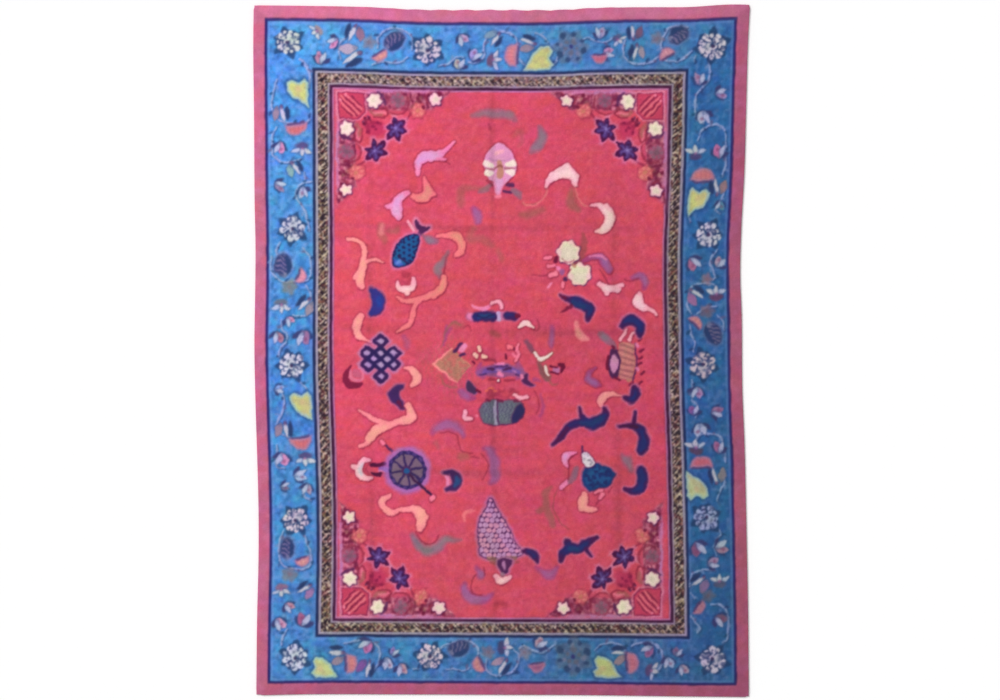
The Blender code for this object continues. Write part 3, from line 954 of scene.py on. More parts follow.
def navyBird():
    ribbon("navy", [(316, -1112, 9), (332, -1072, 21), (366, -1046, 26), (402, -1050, 22), (440, -1030, 21),
                    (476, -1008, 12), (506, -988, 5)], [(352, -1022, 18), (350, -1012, 14)],
           [(440, -1040, 14), (462, -1070, 8), (478, -1090, 4)])
    faded("teal", 0.8, [(362, -1050, 13), (402, -1054, 12)], soft=0.012)
    faded("mauve", 0.72, [(-130, -1150, 11), (-112, -1188, 25)],
          [(-196, -1238, 12), (-199, -1272, 27), (-172, -1306, 31), (-120, -1326, 28), (-66, -1306, 15),
           (-48, -1290, 5)], soft=0.018)
    faded("wine", 0.65, [(-140, -1190, 4), (-160, -1238, 4), (-146, -1288, 4), (-100, -1300, 4)],
          [(-96, -1150, 5), (-92, -1186, 5)])
    faded("mauve", 0.6, [(180, -1150, 8), (220, -1174, 20), (260, -1186, 26), (302, -1150, 9)], soft=0.02)
    faded("wine", 0.35, [(-24, -1345, 14), (24, -1345, 14)], soft=0.02)


def middleRing():
    # Thin broken vines that half enclose the middle group.
    faded("mauve", 0.5, [(-312, 30, 5), (-292, 90, 10), (-268, 120, 7)],
          [(206, -230, 5), (222, -290, 8), (206, -350, 6)], soft=0.012)
    faded("olive", 0.6, [(-320, 16, 3), (-306, 80, 4), (-276, 130, 6), (-244, 152, 7), (-214, 134, 4)],
          [(-324, -128, 4), (-312, -166, 5), (-280, -190, 6), (-238, -196, 4)],
          [(236, -150, 4), (268, -180, 6), (300, -176, 3)], soft=0.007)
    faded("wine", 0.55, [(190, 170, 3), (202, 136, 4), (192, 108, 4), (150, 112, 3)],
          [(166, -206, 3), (196, -250, 4), (200, -300, 4), (184, -340, 3)],
          [(-206, 118, 3), (-170, 128, 4), (-160, 104, 3)])


fieldFigures = [
    budCanopy, topClouds, upperLeftRibbons, fish, leftRibbons, endlessKnot, paintedScroll,
    scrollTube, lotusStand, birdAndRing, barrelAndButterfly, upperRightRibbons, blossoms, drum,
    rightRibbons, navySwoosh, vase, wheel, lowerLeftRibbons, beadedCone, navyBird, middleRing,
]
for drawFigure in fieldFigures:
    drawFigure()
print("field figures drawn:", len(fieldFigures), "groups")


# The corner sprays of the field. A place in them is (a, b): how far it lies in from the lilac line of
# its side and of its end. Each spray is drawn in all four corners and mirrored in its own diagonal.
corners = {
    # corner: which way across, which way along, x and y where the two lilac lines cross, millimetres
    "topLeft": (-1, 1, -880, 1386),
    "topRight": (1, 1, 874, 1382),
    "bottomLeft": (-1, -1, -864, -1416),
    "bottomRight": (1, -1, 856, -1418),
}


def cornerPatch(name, reach):
    across, along, lineX, lineY = corners[name]
    lineX, lineY = lineX / 1000, lineY / 1000
    endX, endY = lineX - across * reach, lineY - along * reach
    place = patch(min(lineX, endX), min(lineY, endY), max(lineX, endX), max(lineY, endY))
    place.x = (lineX - place.x) * across
    place.y = (lineY - place.y) * along
    return place


def cornerHaze(place):
    # The ground behind a spray is muddled with small mauve and brown leaves, thickest along the two sides.
    x, y = place.x, place.y
    shallow = np.minimum(x, y)
    region = both(shallow - 0.105, x + y - 0.62)
    inset = both(region, 0.006 - shallow)
    fleck, curl = flecks(place, 0.017, 56), flecks(place, 0.023, 57)
    lay(place, both(region, -shallow), (180, 84, 126), 0.6, 0.05)
    lay(place, both(inset, 0.012 * (0.22 - fleck)), (118, 28, 70), 0.85, 0.008)
    lay(place, both(inset, 0.012 * (0.25 + fleck)), (226, 140, 162), 0.8, 0.008)
    lay(place, both(inset, 0.01 * (np.abs(curl) - 0.1)), (146, 84, 100), 0.65, 0.008)
    for seed, yarn in ((80, (96, 22, 62)), (81, (238, 150, 160)), (82, (120, 30, 66))):
        stem = np.abs(mottle(0.03, seed)[place.knots]) - 0.12
        lay(place, both(inset + 0.004, 0.012 * stem), yarn, 0.75, 0.006)
    edge = both(both(shallow - 0.018, -shallow), np.maximum(x, y) - 0.5)
    lay(place, edge, (222, 136, 182), 0.65, 0.012)


twigs = [
    # yarn, strength, then (a, b, half width) along it in millimetres
    ("lilac", 0.7, [(222, 7, 7), (300, 8, 8), (380, 7, 7)]),
    ("lilac", 0.4, [(420, 6, 5), (480, 6, 5), (540, 5, 5)]),
    ("plum", 0.75, [(226, 14, 5), (250, 40, 8), (258, 78, 6)]),
    ("wine", 0.6, [(258, 92, 7), (296, 128, 7), (352, 124, 7), (384, 84, 7), (380, 36, 5)]),
    ("pink", 0.5, [(274, 112, 4), (306, 140, 5), (356, 136, 4)]),
    ("maroon", 0.5, [(396, 20, 7), (404, 70, 7), (404, 110, 7), (380, 150, 5)]),
    ("olive", 0.5, [(408, 88, 11), (432, 64, 11), (452, 40, 9)]),
    ("maroon", 0.75, [(432, 44, 9), (458, 88, 8), (464, 112, 11)]),
    ("wine", 0.6, [(476, 34, 6), (486, 66, 7)]),
    ("olive", 0.55, [(186, 112, 9), (206, 126, 12), (240, 128, 9)]),
    ("pink", 0.5, [(150, 168, 4), (168, 150, 5)]),
    ("plum", 0.8, [(142, 170, 6), (160, 186, 5)]),
    ("maroon", 0.75, [(152, 152, 7), (176, 158, 10)]),
    ("wine", 0.7, [(170, 190, 12), (176, 232, 9)]),
    ("pink", 0.6, [(122, 206, 5), (118, 240, 7), (124, 262, 5)]),
    ("wine", 0.7, [(104, 204, 5), (100, 250, 5), (124, 276, 6), (142, 250, 5), (140, 206, 5)]),
]


def cornerTwigs(place):
    for yarn, strength, rows in twigs:
        soft = 0.013 if yarn == "olive" else edgeSoftness
        figure(place, strokeField(place, inMetres(rows)), yarn, strength=strength, soft=soft)


def starLeaves(place, a, b):
    # Six pointed leaves round a lilac middle: a leaf's half width follows a sine wave, from near its base
    # to its tip.
    leaves = [
        # direction in degrees from the diagonal, length, greatest half width
        (-150, 0.058, 0.017),
        (-95, 0.07, 0.02),
        (-38, 0.062, 0.022),
        (20, 0.074, 0.022),
        (75, 0.078, 0.019),
        (135, 0.06, 0.018),
    ]
    own = seenFrom(place, a, b)
    field = disc(own, 0.02)
    for turn, length, half in leaves:
        angle = radians(turn + 52)
        along = own.x * cos(angle) + own.y * sin(angle)
        across = np.abs(own.y * cos(angle) - own.x * sin(angle))
        share = np.clip(along / length, 0, 1)
        leaf = across - half * 0.98 * np.sin(pi * (0.12 + 0.88 * share)) ** 0.7
        leaf = both(leaf, both(-along, along - length))
        field = np.minimum(field, leaf)
    radius = np.hypot(own.x, own.y)
    lay(own, field - 0.012, "orchid", 0.5, 0.014)
    lay(own, field, (76, 12, 66), groove=0.6, soft=0.006)
    lay(own, both(field + 0.0065, radius - 0.046), (82, 62, 132), 0.75, 0.01)
    for turn, length, half in leaves:
        vein = [(0.0, 0.0, 0.004), (cos(radians(turn + 52)) * length * 0.66,
                                    sin(radians(turn + 52)) * length * 0.66, 0.0015)]
        lay(own, strokeField(own, vein), (128, 106, 176), 0.7, 0.006)
    lay(own, ringOfPetals(own, 5, 0.032, 0.007, 8, 0.3), (60, 14, 68), 0.9, 0.006)
    lay(own, radius - 0.008, (140, 116, 184), 0.8, 0.008)


def cornerFlowers(place):
    creamFlower = seenFrom(place, 205, 58)
    petals = flowerField(creamFlower, 6, 0.041, 0.22, 10)
    figure(creamFlower, petals, (246, 206, 200), edge="plum", soft=0.007)
    lay(creamFlower, flowerField(creamFlower, 6, 0.031, 0.2, 10), (246, 226, 206), soft=0.01)
    lay(creamFlower, flowerField(creamFlower, 5, 0.014, 0.2), (226, 214, 186), soft=0.014)
    rosettes = [
        # a, b, depth between the petals, turn, inner petals, yarns of the petals, inner ones and eye, eye
        (328, 54, 0.18, 0, 0.01, (176, 84, 120), (134, 98, 120), (118, 84, 104), 0.016),
        (436, 110, 0.24, 8, 0.009, (232, 104, 114), (238, 138, 132), (206, 126, 104), 0.013),
    ]
    for a, b, depth, turn, inner, outside, inside, middle, eye in rosettes:
        rosette = seenFrom(place, a, b)
        petals = flowerField(rosette, 6, 0.044, depth, turn)
        figure(rosette, petals, outside, edge="wine", strength=0.68, soft=0.012)
        lay(rosette, ringOfPetals(rosette, 6, 0.026, inner, turn, 0.35), inside, 0.8, 0.012)
        lay(rosette, disc(rosette, eye), middle, 0.8, 0.01)
    for a, b in [(444, 26), (466, 92), (552, 20), (540, 46), (496, 30)]:
        spotHere = seenFrom(place, a, b)
        lay(spotHere, disc(spotHere, 0.01), "maroon", 0.85)
    spray = seenFrom(place, 530, 52)
    lay(spray, np.hypot(spray.x / 1.2, spray.y) - 0.036, "wine", 0.5, 0.014)
    figure(spray, flowerField(spray, 5, 0.036, 0.3, 50), "blush", edge="plum")
    lay(spray, flowerField(spray, 5, 0.022, 0.3, 50), "cream", 0.8, 0.014)
    starLeaves(place, 320, 204)


def cornerMiddle(place):
    # On the diagonal: maroon leaves, and the fret square with its slanting bars.
    leaves = [(196, 196, 11), (172, 222, 9), (222, 172, 9), (212, 212, 8), (180, 150, 9), (150, 180, 9)]
    for a, b, reach in leaves:
        leaf = seenFrom(place, a, b)
        lay(leaf, disc(leaf, reach / 1000), "maroon", 0.85)
    magenta = seenFrom(place, 208, 208)
    lay(magenta, disc(magenta, 0.05), (176, 34, 88), 0.5, 0.03)
    fret = seenFrom(place, 84, 84)
    low, high = fret.x + fret.y, fret.x - fret.y
    square = both(both(np.abs(fret.x), np.abs(fret.y)) - 0.068, (low - 0.1) * 0.7)
    lay(place, square - 0.012, (240, 136, 160), 0.7)
    lay(place, square - 0.004, (128, 26, 72), 0.9, groove=0.5)
    lay(place, square + 0.001, (206, 66, 96), 0.9)
    bars = np.abs((high / 0.037 + 0.5) % 1 - 0.5) * 0.037 * 0.7
    banded = both(square + 0.012, np.abs(high) * 0.7 - 0.046)
    lay(place, both(bars - 0.0042, banded), (240, 128, 138), 0.9, 0.006)
    dark = np.abs((high / 0.037) % 1 - 0.5) * 0.037 * 0.7
    lay(place, both(dark - 0.003, banded), (112, 26, 62), 0.9, 0.006)
    for a, b in [(56, 26), (26, 56)]:
        eye = seenFrom(place, a, b)
        lay(eye, disc(eye, 0.008), "pink", 0.9)


def cornerSprays():
    for name in corners:
        place = cornerPatch(name, 0.61)
        mirrored = SimpleNamespace(knots=place.knots, x=place.y, y=place.x)
        cornerHaze(place)
        for half in (place, mirrored):
            cornerTwigs(half)
        cornerMiddle(place)
        for half in (place, mirrored):
            cornerFlowers(half)


cornerSprays()
print("corner sprays drawn:", len(corners))


# The guard stripe's running pattern, drawn in the same woven depth as the bands.
guard = {
    "pitch": 0.044,        # from one slanted stroke to the next
    "stroke": 0.005,       # half width of a stroke
    "slant": 1.0,           # how far a stroke runs sideways while it crosses, as a share of its height
    "middle": 0.371,       # depth of the stripe's middle line
    "halfHeight": 0.025,
}
guardFlecks = [
    # yarn, patch size, seed, how rare, strength
    ((36, 18, 34), 0.01, 53, 0.22, 0.75),
    ((150, 122, 84), 0.011, 55, 0.42, 0.6),
    ((120, 52, 56), 0.013, 58, 0.45, 0.5),
    ((232, 210, 190), 0.01, 59, 0.55, 0.75),
]


def guardPattern(depth):
    # Along a side the run is counted along that side. Slanted strokes cross the stripe, a shorter one
    # hooks back from each at its outer half, and between them lie pale spots and dark ones.
    nearSide = halfWidth - np.abs(knotX) < halfLength - np.abs(knotY)
    run = np.where(nearSide, knotY, knotX) + 0.008 * mottle(0.05, 51)
    turnedBack = np.where(nearSide, np.sign(knotX), -np.sign(knotY))
    height = (depth - guard["middle"]) / guard["halfHeight"]
    lean = height * guard["halfHeight"] * guard["slant"] * turnedBack

    def toStroke(places):
        part = places / guard["pitch"]
        return np.abs(part - np.floor(part) - 0.5) * guard["pitch"]

    across, back = toStroke(run + lean), toStroke(run - lean * 1.3 + 0.01)
    between = guard["pitch"] / 2 - across
    inside = np.abs(depth - guard["middle"]) - guard["halfHeight"]
    uneven = 0.0034 * mottle(0.012, 52)
    lay(whole, both(across - guard["stroke"] + uneven, inside), (222, 196, 178), 0.9, 0.005)
    hook = both(back - 0.0036 + uneven, both(inside, 0.002 + height * guard["halfHeight"]))
    lay(whole, hook, (196, 168, 150), 0.8, 0.005)
    for level, yarn in ((0.6, (222, 194, 192)), (-0.15, (30, 16, 28))):
        speck = np.hypot(between, (height - level) * guard["halfHeight"]) - 0.0058 + uneven
        lay(whole, speck, yarn, 0.9, 0.005)
    for yarn, size, seed, rare, strength in guardFlecks:
        lay(whole, both(0.01 * (rare - mottle(size, seed)), inside), yarn, strength, 0.006)
    paler = both(inside, both(0.01 * (0.1 - mottle(0.012, 79)), ofSide(0, 1)))
    lay(whole, paler, (236, 214, 214), 0.3, 0.008)
    # the pale lines either side of the stripe are worn in places
    for middle in (0.3385, 0.4015):
        worn = both(np.abs(depth - middle) - 0.007, 0.008 * (0.15 - mottle(0.022, 54)))
        lay(whole, worn, (142, 128, 158), 0.55, 0.008)


guardPattern(depth)


# The flowering vine of the blue border. Every flower is drawn about its own middle, turned, and sized.

petalOutline = (48, 74, 124)


def petal(place, size, turn, length, half, startX, startY, yarn):
    # One petal or leaf, with a darker outline and a tint of it at the base; millimetres at size 1.
    length, half, startX, startY = [value * size / 1000 for value in (length, half, startX, startY)]
    field = petalField(place, turn, length, half, startX, startY)
    lay(place, field - 0.0055, petalOutline, 0.5, 0.008)
    lay(place, field, yarn, 0.9, 0.007)
    lay(place, both(field, disc(place, 0.25 * length, startX, startY)), petalOutline, 0.32, 0.012)


def rings(place, size, soft, rows):
    # Rings of petals, one over another, each with its own row of numbers times the flower's size.
    for count, out, half, turn, vary, yarn, strength, groove in rows:
        ring = ringOfPetals(place, count, out * size / 1000, half * size / 1000, turn, vary)
        lay(place, ring, yarn, strength, soft, groove)


def peony(place, size, yarn):
    # An open flower in a cup of dark leaves: two rings of unequal petals with dark gaps between them.
    leaves = np.min([petalField(place, turn, reach * size, 0.025 * size)
                     for turn, reach in ((14, 0.094), (70, 0.086), (122, 0.098), (196, 0.09), (250, 0.082),
                                         (312, 0.096))], axis=0)
    lay(place, leaves, (30, 58, 100), 0.8, 0.012)
    lay(place, flowerField(place, 8, 0.072 * size, 0.18, 12), (40, 62, 108), 0.9, 0.01)
    rings(place, size, 0.0065, [
        # petals, how far out and half width in millimetres, turn, how unequal, yarn, strength, parting
        (10, 52, 14, 20, 0.3, yarn, 0.92, 0.3),
        (9, 42, 7.2, 5, 0.5, (58, 62, 106), 0.88, 0),
        (6, 31, 12.5, 45, 0.3, yarn, 0.9, 0),
        (5, 24, 7, 80, 0.45, (64, 66, 106), 0.85, 0),
    ])
    fleck = 0.01 * (0.42 - flecks(place, 0.013, 74))
    lay(place, both(disc(place, 0.07 * size), fleck), (60, 74, 118), 0.75, 0.006)
    swirl = np.abs(disc(place, 0.019 * size, 0.004, -0.003)) - 0.0065 * size
    lay(place, both(swirl, -0.012 - place.y), yarn, 0.9, 0.006)
    tint = disc(place, 0.02 * size, 0.02 * size, 0.012 * size)
    lay(place, tint, (158, 168, 180), 0.45, 0.014)
    lay(place, disc(place, 0.01 * size, -0.002, 0.0), (62, 48, 88), 0.85, 0.007)


def darkPeony(place, size, yarn):
    lay(place, flowerField(place, 6, 0.098 * size, 0.22), "slate", 0.45, 0.018)
    rings(place, size, 0.01, [
        (8, 70, 14, 10, 0.3, (40, 62, 104), 0.8, 0),
        (7, 50, 9, 40, 0.4, (132, 128, 156), 0.6, 0),
        (5, 30, 12, 20, 0.3, yarn, 0.7, 0),
    ])
    lay(place, disc(place, 0.011 * size), "navy", 0.7)


def palmette(place, size, yarn):
    # A dark seed case in a pale shell, hatched on one side.
    oval = (np.hypot(place.x / 0.044, place.y / 0.06) - size) * 0.044
    lay(place, oval - 0.009, yarn, 0.35, 0.014)
    lay(place, oval, (44, 52, 98), 0.85, 0.01, groove=0.4)
    slant = place.y + 0.55 * place.x + 0.004 * np.sin(place.x * 160)
    bars = np.abs((slant / 0.0235) % 1 - 0.5) * 0.0235 - 0.0042
    lay(place, both(both(bars, oval + 0.007), place.x - 0.014 * size), yarn, 0.75, 0.007)
    lay(place, both(oval + 0.004, 0.02 * size - place.x), "teal", 0.7, 0.01)
    lay(place, disc(place, 0.012 * size, 0.006, -0.05 * size), (150, 150, 180), 0.5, 0.01)


def pomegranate(place, size, yarn):
    outline = [(-60, 44), (-36, 63), (0, 46), (30, 70), (56, 44), (60, -15), (57, -86), (16, -56), (-26, -36),
               (-54, 4)]
    rows = [(x * size / 1000, y * size / 1000) for x, y in outline]
    field = shapeField(place, rows, smooth=False)
    lay(place, field - 0.011, "teal", 0.5, 0.014)
    lay(place, field, (166, 194, 184), 0.95, 0.007, groove=0.5)
    lay(place, field + 0.013, yarn, 0.95, 0.014)
    fleck = 0.012 * (0.2 - flecks(place, 0.02, 71))
    lay(place, both(field + 0.01, fleck), (176, 170, 124), 0.6, 0.01)
    lay(place, disc(place, 0.015, 0.006, 0.012), (206, 178, 134), 0.6, 0.014)


paleWool, coolWool = (206, 200, 212), (188, 192, 220)


def lily(place, size, yarn):
    # Three long petals side by side: a dark leaf, a coloured back and a pale lip.
    petal(place, size, 6, 76, 13, 22, 42, (38, 54, 98))
    petal(place, size, -16, 80, 21, -26, 40, yarn)
    petal(place, size, 12, 92, 10.5, -8, 48, paleWool)
    lay(place, disc(place, 0.011 * size, -0.004, 0.04 * size), "plum", 0.5, 0.01)


def fan(place, size, yarn):
    arch = (np.hypot(place.x / 0.06, (place.y - 0.028 * size) / 0.062) - size) * 0.06
    field = both(arch, place.y - 0.028 * size)
    lay(place, field - 0.006, (132, 98, 146), 0.55, 0.012)
    lay(place, field, (192, 128, 152), 0.9, 0.01, groove=0.4)
    lay(place, field + 0.013 * size, yarn, 0.9, 0.018)
    ribs = np.abs((place.x / 0.0215) % 1 - 0.5) * 0.0215 - 0.003
    lay(place, both(ribs, field + 0.01 * size), (172, 92, 116), 0.45, 0.007)
    stem = box(place, 0.05 * size, 0.006, 0, 0.034 * size)
    lay(place, stem, (86, 52, 96), 0.7, 0.008)


def bud(place, size, yarn):
    # A dark cup, and out of it two coloured petals with a pale one between.
    petal(place, size, 46, 50, 12, 0, 24, (44, 62, 112))
    petal(place, size, -60, 42, 10, 0, 24, (58, 58, 108))
    petal(place, size, 18, 56, 17, 0, 26, yarn)
    petal(place, size, -22, 50, 10.5, 0, 22, coolWool)
    lay(place, disc(place, 0.007 * size, 0.01 * size, -0.008 * size), (126, 66, 104), 0.6, 0.01)


def wings(place, size, yarn):
    # A dark cap over two pale petals spread level and a third that points down.
    lay(place, np.hypot(place.x / 1.7, place.y - 0.016 * size) - 0.019 * size, yarn, 0.8, 0.01)
    petal(place, size, 72, 52, 10.5, 0, 0, paleWool)
    petal(place, size, -72, 52, 10.5, 0, 0, coolWool)
    petal(place, size, 4, 42, 10.5, 0, 6, paleWool)
    lay(place, disc(place, 0.008, 0.0, 0.004), "mauve", 0.6, 0.008)


def cloud(place, size, yarn):
    lay(place, flowerField(place, 5, 0.044 * size, 0.24), yarn, 0.7, 0.018)
    lay(place, disc(place, 0.012), "brown", 0.25, 0.012)


flowerKinds = {
    # kind: how it is drawn, how far from its middle it reaches
    "peony": (peony, 0.115),
    "dark": (darkPeony, 0.115),
    "palmette": (palmette, 0.085),
    "pomegranate": (pomegranate, 0.11),
    "lily": (lily, 0.07),
    "fan": (fan, 0.085),
    "bud": (bud, 0.05),
    "wings": (wings, 0.06),
    "cloud": (cloud, 0.06),
}

lemon, coral = (200, 198, 124), (210, 108, 112)
dusk, taupe, plumCap = (150, 128, 166), (156, 132, 148), (84, 62, 108)
borderFlowers = [
    # kind, x, y in millimetres, turn (0 points down the rug), size (below zero: mirrored), yarn
    # left side, from the top
    ("peony", -1135, 1640, 0, 1.0, (214, 210, 214)),
    ("pomegranate", -1084, 1380, 0, 1.0, lemon),
    ("lily", -1162, 1258, 0, 1.0, taupe),
    ("fan", -1092, 1176, 8, 0.95, coral),
    ("bud", -1182, 1076, 0, 1.2, "orchid"),
    ("wings", -1060, 1072, 0, 1.1, plumCap),
    ("lily", -1092, 966, 25, 0.9, (140, 170, 176)),
    ("bud", -1176, 880, 60, -1.1, dusk),
    ("bud", -1050, 842, 0, -1.1, (176, 178, 214)),
    ("peony", -1112, 648, 40, 1.0, (208, 206, 220)),
    ("palmette", -1162, 455, 0, 1.0, dusk),
    ("fan", -1062, 396, 70, 0.68, (232, 150, 170)),
    ("cloud", -1128, 336, 0, 1.0, (128, 122, 116)),
    ("wings", -1174, 238, 0, 1.0, (104, 96, 110)),
    ("lily", -1050, 246, -40, -1.0, (160, 140, 156)),
    ("bud", -1130, 158, 40, 1.0, "orchid"),
    ("bud", -1190, 72, 10, 1.25, (184, 126, 146)),
    ("bud", -1056, 70, 10, 1.5, (164, 118, 156)),
    ("peony", -1116, -78, 75, 1.0, (226, 220, 234)),
    ("bud", -1182, -205, 90, 0.9, (146, 178, 232)),
    ("pomegranate", -1064, -286, 0, 1.0, lemon),
    ("lily", -1146, -420, 0, 1.0, taupe),
    ("fan", -1066, -490, 8, 1.0, coral),
    ("bud", -1166, -572, 0, 1.35, "orchid"),
    ("wings", -1044, -576, 0, 1.1, plumCap),
    ("bud", -1070, -660, 90, -1.2, (178, 196, 226)),
    ("bud", -1148, -722, 90, -0.9, (120, 116, 150)),
    ("bud", -1036, -736, 0, 1.1, (182, 160, 184)),
    ("peony", -1096, -900, 20, 1.0, (228, 206, 222)),
    ("palmette", -1140, -1050, 0, 0.9, dusk),
    ("fan", -1054, -1120, 20, 0.66, (226, 158, 152)),
    ("cloud", -1128, -1190, 0, 1.0, (128, 118, 130)),
    ("wings", -1168, -1274, 0, 1.0, (150, 96, 120)),
    ("lily", -1046, -1266, -45, -0.9, (168, 120, 168)),
    ("bud", -1130, -1362, 60, 1.1, (206, 146, 166)),
    ("bud", -1180, -1450, 30, 1.2, (218, 160, 190)),
    ("bud", -1050, -1430, 170, 1.4, (174, 96, 136)),
    ("peony", -1100, -1630, 50, 1.0, (220, 218, 240)),
    # top end, from the left
    ("wings", -985, 1700, -60, 0.9, (170, 130, 130)),
    ("bud", -895, 1640, -60, 1.1, "orchid"),
    ("bud", -958, 1558, 180, 1.3, (196, 132, 168)),
    ("lily", -790, 1690, -10, -1.0, (150, 110, 130)),
    ("lily", -800, 1560, -70, 1.3, (190, 168, 186)),
    ("fan", -645, 1560, 30, 0.7, (220, 156, 138)),
    ("cloud", -704, 1640, 0, 0.9, (132, 124, 140)),
    ("palmette", -572, 1645, -55, 1.0, dusk),
    ("peony", -394, 1598, 110, 1.05, (222, 206, 218)),
    ("bud", -205, 1655, 30, 1.1, (196, 160, 206)),
    ("bud", -140, 1566, 150, 1.2, (176, 160, 222)),
    ("bud", -222, 1520, 180, 1.1, (192, 188, 178)),
    ("lily", -36, 1655, -45, 0.9, (126, 152, 176)),
    ("wings", -38, 1545, 90, 1.1, (112, 64, 92)),
    ("fan", 52, 1572, -90, 1.05, (222, 132, 138)),
    ("lily", 140, 1642, -100, -1.0, taupe),
    ("pomegranate", 205, 1552, -90, 1.1, lemon),
    ("dark", 366, 1612, 0, 1.0, "slate"),
    ("bud", 524, 1690, 180, -1.1, (176, 160, 204)),
    ("bud", 566, 1580, 100, 1.1, (206, 150, 190)),
    ("fan", 522, 1552, 0, 0.7, (196, 96, 122)),
    ("wings", 622, 1654, 40, 0.8, (84, 76, 120)),
    ("lily", 698, 1690, 180, 0.9, (120, 84, 110)),
    ("lily", 712, 1585, 0, -0.9, (168, 150, 160)),
    ("fan", 872, 1582, -150, 0.7, (220, 160, 172)),
    ("cloud", 826, 1660, 0, 0.8, (128, 116, 136)),
    ("palmette", 940, 1678, -60, -1.0, dusk),
    ("peony", 1118, 1620, 160, 1.1, (230, 216, 226)),
    # right side, from the top
    ("bud", 1052, 1440, 180, 1.2, (178, 146, 178)),
    ("bud", 1164, 1368, 90, -1.1, (170, 142, 190)),
    ("bud", 1078, 1245, 0, -1.4, (190, 192, 220)),
    ("wings", 1032, 1052, 180, 1.1, plumCap),
    ("bud", 1158, 1056, 180, 1.3, (214, 120, 170)),
    ("fan", 1070, 935, 180, 1.05, (214, 120, 124)),
    ("lily", 1140, 872, 175, 1.0, (160, 124, 124)),
    ("pomegranate", 1046, 800, 0, -1.0, (208, 202, 128)),
    ("bud", 1158, 770, 0, 0.9, (92, 150, 170)),
    ("peony", 1098, 615, 200, 1.0, (222, 214, 228)),
    ("bud", 1022, 465, 30, -1.4, (184, 110, 148)),
    ("bud", 1158, 468, 150, 1.1, (190, 160, 186)),
    ("cloud", 1092, 382, 0, 0.8, (156, 112, 130)),
    ("wings", 1140, 305, 180, 1.1, (112, 60, 92)),
    ("lily", 1034, 300, 50, 1.0, (170, 110, 160)),
    ("cloud", 1092, 214, 0, 0.9, (124, 98, 118)),
    ("fan", 1036, 155, 140, 0.7, (218, 140, 136)),
    ("palmette", 1126, 92, 195, 1.05, (150, 132, 156)),
    ("peony", 1068, -72, 240, 1.0, (222, 200, 206)),
    ("bud", 1034, -222, 0, 1.2, (184, 150, 188)),
    ("bud", 1022, -320, 180, 1.0, (140, 96, 160)),
    ("bud", 1142, -330, 90, 1.2, (160, 116, 150)),
    ("bud", 1058, -420, 0, -1.4, (186, 196, 220)),
    ("wings", 1030, -512, 180, 1.1, (96, 60, 84)),
    ("bud", 1158, -512, 180, 1.2, (176, 112, 152)),
    ("fan", 1062, -590, 180, 1.0, (204, 100, 116)),
    ("lily", 1134, -660, 185, 1.0, (140, 128, 136)),
    ("pomegranate", 1040, -726, 180, 1.0, (192, 196, 150)),
    ("peony", 1088, -888, 280, 1.0, (172, 180, 222)),
    ("bud", 1046, -1052, 20, -1.5, (142, 86, 122)),
    ("bud", 1168, -1040, 100, -1.3, (178, 136, 160)),
    ("bud", 1126, -1128, 110, 1.1, (170, 140, 176)),
    ("lily", 1046, -1226, -40, -1.0, (140, 110, 150)),
    ("wings", 1162, -1222, 180, 1.1, (92, 84, 112)),
    ("cloud", 1098, -1302, 0, 0.9, (104, 98, 116)),
    ("fan", 1056, -1366, 60, 0.66, (176, 128, 142)),
    ("bud", 1160, -1430, 60, 1.3, (122, 92, 118)),
    ("peony", 1122, -1640, 310, 1.05, (220, 208, 224)),
    # bottom end, from the left
    ("pomegranate", -948, -1684, 90, -0.95, (200, 208, 138)),
    ("lily", -880, -1606, -80, -1.0, taupe),
    ("fan", -800, -1664, 90, 0.9, (214, 130, 130)),
    ("bud", -718, -1566, -40, 1.4, (204, 120, 176)),
    ("lily", -712, -1690, -20, 1.0, (132, 84, 150)),
    ("bud", -568, -1600, 160, 1.0, (142, 128, 200)),
    ("bud", -612, -1664, 20, 1.1, (206, 206, 230)),
    ("bud", -536, -1694, 20, 1.2, (206, 162, 172)),
    ("peony", -380, -1625, 140, 1.0, (232, 206, 222)),
    ("palmette", -226, -1580, -70, 0.95, (128, 118, 150)),
    ("cloud", -72, -1600, 0, 0.9, (126, 104, 128)),
    ("fan", -128, -1672, -60, 0.7, (212, 142, 136)),
    ("wings", 18, -1575, 90, 1.1, (66, 56, 96)),
    ("lily", 4, -1680, -45, 1.0, (176, 140, 168)),
    ("bud", 205, -1558, 150, 1.2, (196, 160, 176)),
    ("cloud", 122, -1604, 0, 0.9, (142, 128, 142)),
    ("fan", 192, -1682, 10, 0.7, (136, 84, 124)),
    ("dark", 382, -1622, 30, 1.1, "slate"),
    ("pomegranate", 552, -1680, 90, -1.0, (196, 202, 132)),
    ("lily", 622, -1606, -80, -1.0, (160, 128, 140)),
    ("fan", 694, -1658, 90, 0.95, (206, 118, 134)),
    ("bud", 780, -1590, -50, 1.3, (168, 110, 156)),
    ("wings", 798, -1700, 70, 1.0, (100, 66, 112)),
    ("bud", 885, -1660, 10, 1.1, (176, 190, 224)),
    ("bud", 938, -1600, 160, 1.0, (130, 110, 150)),
    ("bud", 964, -1698, 30, 1.1, (180, 160, 176)),
]

